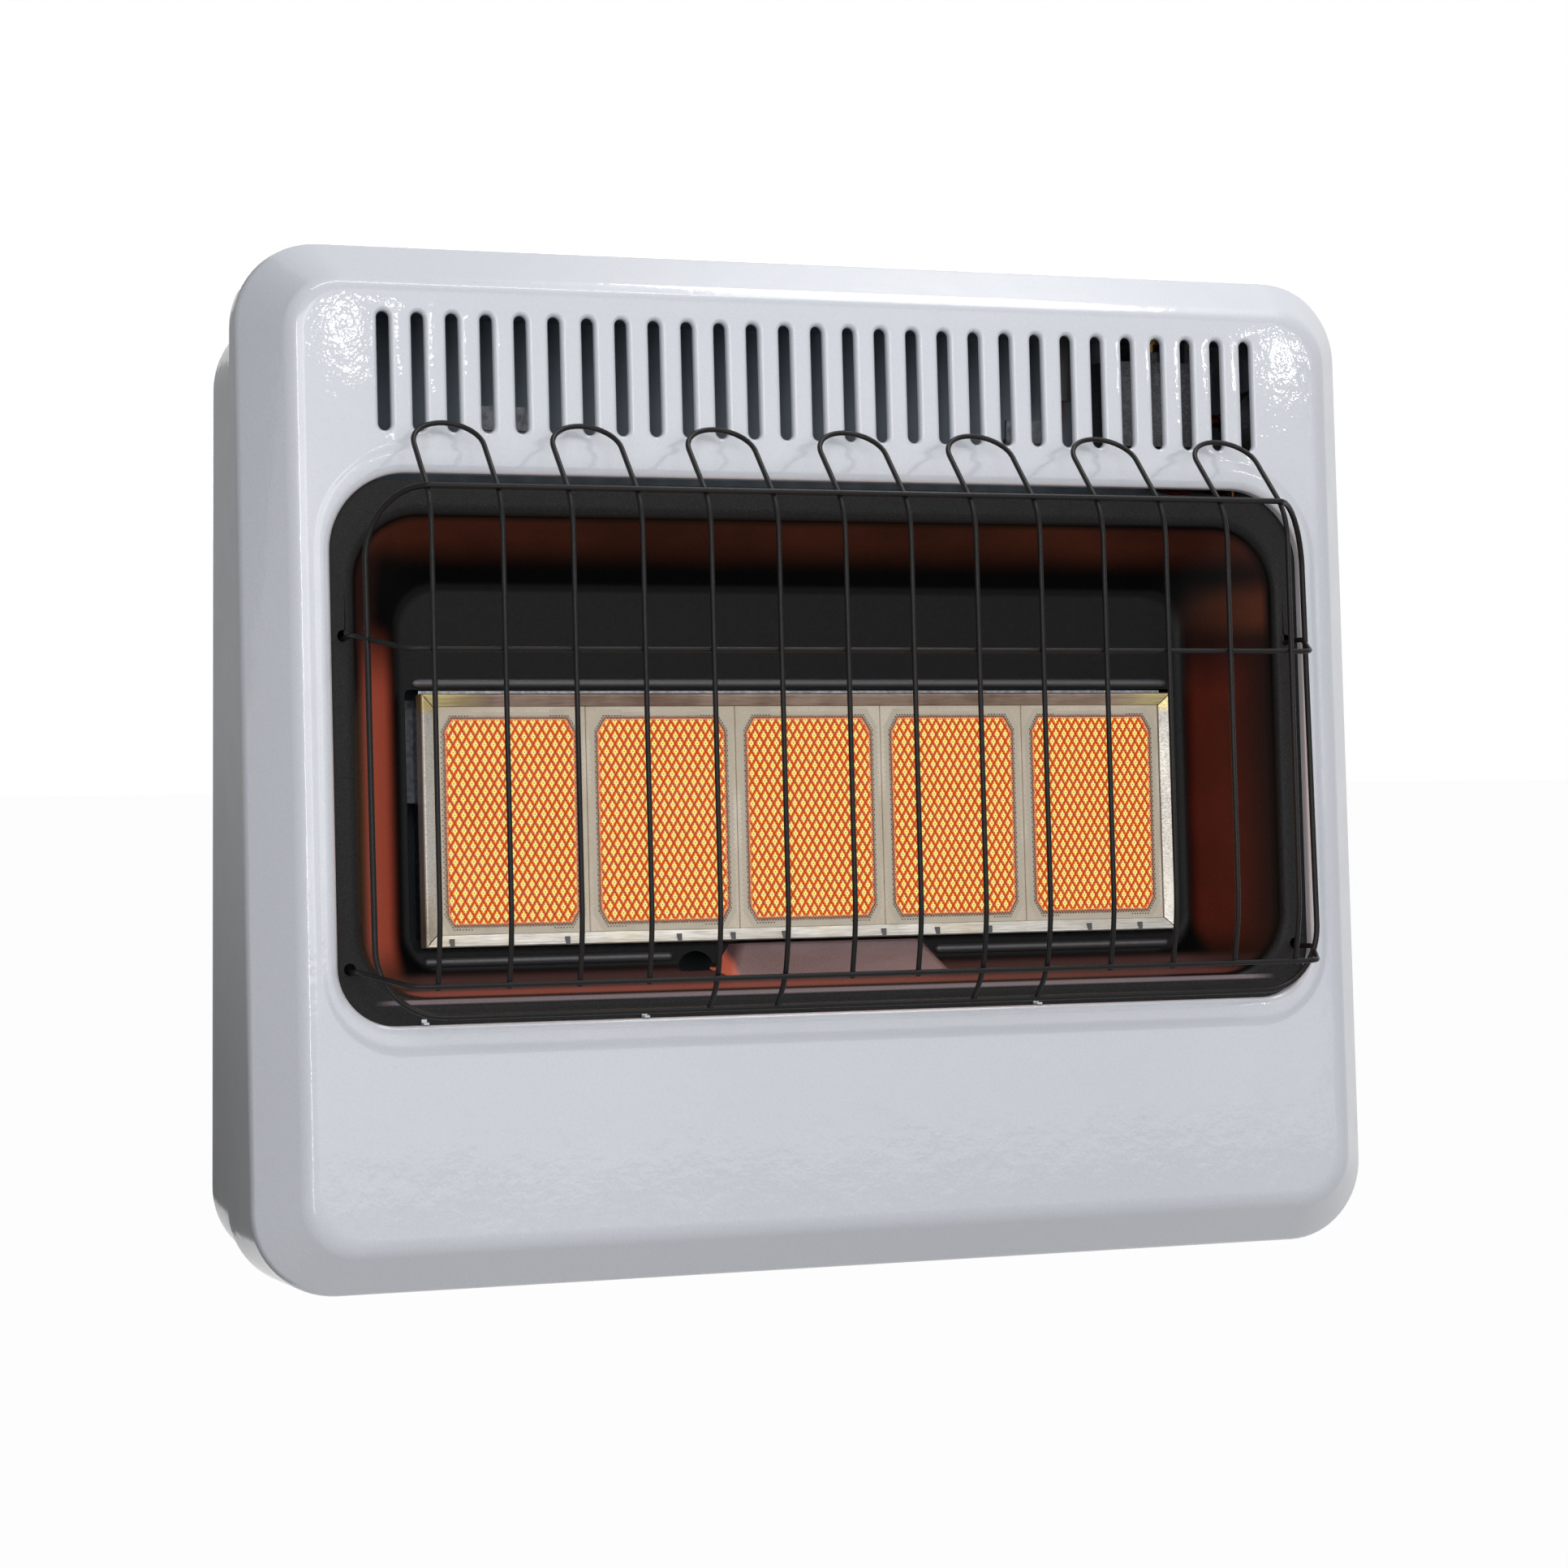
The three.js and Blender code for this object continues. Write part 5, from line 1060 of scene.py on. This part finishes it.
def beadTree():
    t = NodeTree("weldBeads", (("Bead radius", "Float", 0.002), ("Unevenness", "Float", 0.2), ("Seed", "Int", 7),
                               ("Finish", "Material", None)))
    points = t.out("GeometryNodeMeshToPoints", Mesh=t.given.outputs["Geometry"], Radius=0.001)
    bead = t.out("GeometryNodeMeshIcoSphere", Radius=t.value("Bead radius"), Subdivisions=2)
    size = t.add("FunctionNodeRandomValue", {"data_type": "FLOAT"}, Seed=t.value("Seed"))
    low = t.less(1.0, t.value("Unevenness"))
    for socket in size.inputs:
        if socket.enabled and socket.name in ("Min", "Max"):
            t.feed(socket, low if socket.name == "Min" else 1.0)
    amount = [o for o in size.outputs if o.enabled][0]
    beads = t.out("GeometryNodeInstanceOnPoints", Points=points, Instance=bead, Scale=amount)
    real = t.out("GeometryNodeRealizeInstances", Geometry=beads)
    t.end(t.out("GeometryNodeSetShadeSmooth", Geometry=real))
    return t


def wiresMesh(name, paths, closed=False):
    points, edges = [], []
    for path in paths:
        start = len(points)
        points += [onFront(*p) for p in path]
        edges += [(i, i + 1) for i in range(start, len(points) - 1)]
        if closed:
            edges.append((len(points) - 1, start))
    return meshOf(name, points, edges)


def makeGuard():
    s = SimpleNamespace(**guardSizes)
    r = s.wire
    weld = s.weldReach
    places = [(i - (s.wires - 1) / 2) * s.pitch for i in range(s.wires)]

    def toFrame(x):   # four of the wires reach down to the frame wire
        return s.pitch < abs(x) < s.pitch * 3

    def side(x):   # from the bend below the loop down to the foot
        run = [(x, -s.reach, s.bendZ), (x, -s.reach, s.straightTo), (x, -s.bottomReach + weld, s.bottom - s.footPast)]
        if toFrame(x):
            run.append((x, -s.frameBottomReach + r, s.frameBottom - s.frameFootPast))
        return run

    lean = Vector((0, s.reach - s.loopReach, s.loopTop - s.bendZ)).normalized()
    half = s.pitch / 2
    uprights = []
    for left, right in zip(places[::2], places[1::2]):
        centre = Vector(((left + right) / 2, -s.loopReach, s.loopTop)) - lean * half
        loop = [centre + Vector((-half * math.cos(a), 0, 0)) + lean * half * math.sin(a)
                for a in [math.pi * k / s.loopSteps for k in range(s.loopSteps + 1)]]
        legs = bentPath([*side(left)[::-1], loop[0]], s.bend, s.bendSteps)
        otherLegs = bentPath([loop[-1], *side(right)], s.bend, s.bendSteps)
        uprights.append(legs + loop[1:-1] + otherLegs)
    crosses = []
    for depth, z, rise in zip((-s.reach + weld, -s.bottomReach), (s.middle, s.bottom), s.crossRise):
        holeZ = z + rise - s.holeRadius + r + s.holePlay
        half = [(s.holeX - s.hookStart, depth, z), (s.holeX, s.hookDepth, holeZ),
                (s.holeX, s.behind, holeZ), (s.holeX, s.behind, holeZ - s.hookDrop)]
        crosses.append(bentPath([(-x, y, h) for x, y, h in half[::-1]] + half, s.hookBend, s.bendSteps))
    w = s.frameHalfWidth
    topBend = Vector((s.frameBendX, -s.topReach, s.top))
    lowBend = Vector((w - s.lowBendIn, -s.frameBottomReach, s.frameBottom))
    topCorner = Vector((w, -s.frameReach, s.top))
    lowCorner = Vector((w, -s.frameReach - s.lowCornerBack, s.frameBottom))
    up = Vector((0, 0, 1))
    turn = quarterTurn(topCorner, (topBend - topCorner).normalized(), -up, s.frameCorner)
    lowTurn = quarterTurn(lowCorner, up, (lowBend - lowCorner).normalized(), s.frameCorner)
    rightHalf = bentPath([(0, -s.topReach, s.top), topBend, turn[0]], *s.frameBend) + turn[1:] + lowTurn[:-1]
    rightHalf += bentPath([lowTurn[-1], lowBend, (0, -s.frameBottomReach, s.frameBottom)], *s.frameLowBend)
    leftHalf = [Vector((-p.x, p.y, p.z)) for p in rightHalf[::-1]]
    frameWire = rightHalf + leftHalf[1:-1]

    tree = wireTree()
    thin = grow("guardWires", wiresMesh("wires", uprights + crosses), tree,
                {"Wire radius": r / 1000, "Sides": s.sides, "Finish": guardFinish})
    place(thin, "heater", "black_enamel", "wire_guard")
    thick = grow("guardFrameWire", wiresMesh("frameWire", [frameWire], closed=True), tree,
                 {"Wire radius": s.frameWire / 1000, "Sides": s.sides, "Finish": guardFinish})
    place(thick, "heater", "black_enamel", "wire_guard")
    joints = []
    topIn, topRise = s.topWeld
    for x in places:
        joints += [(x, -s.topReach + topIn, s.top + topRise), (x, -s.reach + weld / 2, s.middle),
                   (x, -s.bottomReach + weld / 2, s.bottom)]
        if toFrame(x):
            joints.append((x, -s.frameBottomReach + s.frameWeld, s.frameBottom))
    beads = grow("guardWelds", meshOf("joints", [onFront(*p) for p in joints]), beadTree(),
                 {"Bead radius": s.weldBead, "Unevenness": s.weldUnevenness, "Seed": 11, "Finish": guardFinish})
    place(beads, "heater", "black_enamel", "wire_guard")


makeGuard()
print("guard made")

# pilot hood: a bent sheet under the burner

hoodSizes = {
    "middle": 10.0, "topHalf": 57.0, "bottomHalf": 69.0, "topDepth": 59.0, "bottomDepth": 41.0,
    "top": -103.8, "rear": 67.7, "flare": 4.0, "sheet": 1.2, "bend": 4.0, "floorRise": 0.3,
    "arch": 1.6, "shares": (0.0, 0.04, 0.2, 0.4, 0.6, 0.8, 0.94, 0.985, 1.0),   # rows up the front, from the floor
}


def dishFloor(depth):   # how high the reflector's floor lies at this depth
    s = SimpleNamespace(**reflectorSizes)
    share = (depth - s.floorStart) / (s.dishDepth - s.floorStart)
    return s.mouth[2] + share * (s.dish[2] - s.mouth[2])


def makeHood():
    s = SimpleNamespace(**hoodSizes)
    hood = SheetMetal()
    low = dishFloor(s.bottomDepth) + s.floorRise
    lines = []
    for share in s.shares:
        half = s.bottomHalf + (s.topHalf - s.bottomHalf) * share
        depth = s.bottomDepth + (s.topDepth - s.bottomDepth) * share
        z = low + (s.top - low) * share
        rearHalf = half + s.flare
        corners = [(-rearHalf, s.rear), (-half, depth), (half, depth), (rearHalf, s.rear)]
        path = []
        for x, d, _ in bentPath([(x, d, 0) for x, d in corners], s.bend, 6):
            lowHere = max(z, dishFloor(d) + s.floorRise)
            arch = s.arch * share * (1 - (x / half) ** 2) if abs(x) < half else 0.0
            path.append((x + s.middle, d, min(lowHere + arch - s.arch * share, s.top)))
        lines.append(hood.ring(path))
    hood.strips(lines)
    piece = hood.finish("pilotHood", hoodFinish, s.sheet)
    place(piece, "heater", "black_enamel", "pilot_hood")


makeHood()
print("hood made")

# camera, lights, floor

cameraSizes = {"lens": 79.75, "place": (-704.9, -1883.5, -101.6), "yaw": 0.3404, "pitch": 0.0437, "roll": -0.026}


def makeCamera():
    s = SimpleNamespace(**cameraSizes)
    yaw, pitch, roll = s.yaw, s.pitch, s.roll
    forward = Vector((math.sin(yaw) * math.cos(pitch), math.cos(yaw) * math.cos(pitch), math.sin(pitch)))
    right = Vector((math.cos(yaw), -math.sin(yaw), 0))
    up = right.cross(forward)
    turnedRight = right * math.cos(roll) + up * math.sin(roll)
    turnedUp = up * math.cos(roll) - right * math.sin(roll)
    axes = [frontDirection(*v) for v in (turnedRight, turnedUp, -forward)]
    camera = newPiece("camera", bpy.data.cameras.new("camera"))
    camera.data.lens, camera.data.sensor_width = s.lens, 36
    camera.data.clip_start, camera.data.clip_end = 0.01, 60
    camera.matrix_world = Matrix.Translation(onFront(*s.place)) @ Matrix(axes).transposed().to_4x4()
    bpy.context.scene.camera = camera


studioSizes = {
    "roomColour": (0.93, 0.96, 1.0, 1), "roomLight": 0.27, "floorHalf": 14, "floorHeight": -1.15,
    "floorGrey": (0.42, 0.42, 0.42, 1), "floorShown": 0.975,
    "lamps": (   # place, aim, width, height, watts
        ("keyLeft", (-0.8, -3.0, 0.7), (0, 0, -0.1), 1.7, 1.4, 27),
        ("frontFill", (0.9, -3.6, 0.8), (0, 0, 0.0), 2.6, 2.2, 29),
        ("stripAbove", (0.1, -1.05, 1.75), (0, 0, 0.1), 1.9, 0.13, 8),
        ("stripLeft", (-1.25, -2.2, 0.1), (-0.2, 0, -0.2), 0.10, 1.7, 8),
        ("lightAbove", (0.7, -0.05, 1.7), (0.15, -0.1, 0.1), 1.5, 0.5, 17),
        ("wallFill", (0.9, 3.0, 0.9), (0, 0, -0.2), 2.4, 2.0, 40),
    ),
    "bulbs": ((-290, 246, 0.09, 0.07, 60), (286, 256, 0.05, 0.035, 150), (300, 236, 0.06, 0.03, 150)),
    "bulbsAway": 2.6, "flag": (-0.50, (-0.10, 1.40), (-1.05, 0.60)), "flagFades": (-0.50, -0.20),
    "glow": (0.44, 0.11, 0.35), "glowColour": (1.0, 0.24, 0.05),
}


def softbox(name, at, towards, width, height, power, tint=(1, 1, 1)):
    lamp = bpy.data.lights.new(name, "AREA")
    lamp.shape = "RECTANGLE"
    lamp.size, lamp.size_y, lamp.energy, lamp.color = width, height, power, tint
    holder = newPiece(name, lamp)
    holder.location = at
    holder.rotation_euler = (Vector(towards) - Vector(at)).to_track_quat("-Z", "Y").to_euler()
    return holder


def shownTo(nodes, *kinds):   # 1 for these kinds of ray, 0 for the rest
    path = nodes.add("ShaderNodeLightPath").outputs
    shown = path["Is Camera Ray"]
    for kind in kinds:
        shown = nodes.highest(shown, path[f"Is {kind} Ray"])
    return shown


def makeRoom():   # white to the camera and in reflections, a soft pale light for everything else
    world = bpy.data.worlds.new("studio")
    bpy.context.scene.world = world
    nodes = NodeMaker(world)
    soft = nodes.out("ShaderNodeBackground", Color=studioSizes["roomColour"], Strength=studioSizes["roomLight"])
    white = nodes.out("ShaderNodeBackground", Color=(1, 1, 1, 1), Strength=1.0)
    mix = nodes.out("ShaderNodeMixShader", i0=shownTo(nodes, "Transmission", "Glossy"), i1=soft, i2=white)
    nodes.add("ShaderNodeOutputWorld", Surface=mix)


def floorFinish():   # nearly white to see, with the object's shadow left on it
    material = bpy.data.materials.new("studioFloor")
    nodes = NodeMaker(material)
    share = nodes.times(shownTo(nodes, "Glossy"), studioSizes["floorShown"])
    matte = nodes.out("ShaderNodeBsdfDiffuse", Color=studioSizes["floorGrey"])
    mix = nodes.out("ShaderNodeMixShader", i0=share, i1=matte, i2=nodes.out("ShaderNodeEmission"))
    nodes.add("ShaderNodeOutputMaterial", Surface=mix)
    return material


def stageCard(name, corners, material):
    card = newPiece(name, meshOf(name, corners, faces=[(0, 1, 2, 3)]))
    card.data.materials.append(material)
    return card


def makeStudio():
    s = SimpleNamespace(**studioSizes)
    makeRoom()
    half, level = s.floorHalf, s.floorHeight
    stageCard("studioFloor", [(x * half, y * half, level) for x, y in ((-1, -1), (1, -1), (1, 1), (-1, 1))],
              floorFinish())
    lamps = {name: softbox(name, *values) for name, *values in s.lamps}
    lamps["stripAbove"].visible_diffuse = False
    eye = onFront(*cameraSizes["place"])
    for x, z, width, height, strength in s.bulbs:   # bulbs mirrored in the front's corners
        corner = onFront(x, 0, z)
        away = (corner - eye).reflect(facingRoom).normalized()
        bulb = softbox("cornerBulb", corner + away * s.bulbsAway, corner, width, height, strength * width * height)
        bulb.visible_diffuse = False
    cloth = Finish("sideFlag", Roughness=0.9)
    height = cloth.add("ShaderNodeSeparateXYZ", Vector=cloth.place).outputs[2]
    cloth.colour(cloth.ramp(cloth.spread(height, *s.flagFades), (0.0, paint(44, 40, 30)),
                            (1.0, paint(150, 150, 146))))
    x, (near, far), (low, high) = s.flag   # the dark side of the room, out of the camera's sight
    flag = stageCard("sideFlag", [(x, near, low), (x, far, low), (x, far, high), (x, near, high)], cloth.material)
    flag.visible_camera = False
    # the warmth of the five plaques on the reflector, the hood and the guard
    glow = softbox("burnerGlow", onFront(0, 57, -30), onFront(0, -200, -30), *s.glow, s.glowColour)
    glow.visible_camera = glow.visible_glossy = False


makeCamera()
makeStudio()
print("camera and lamps made")
scene = bpy.context.scene
scene.view_settings.view_transform = "Standard"
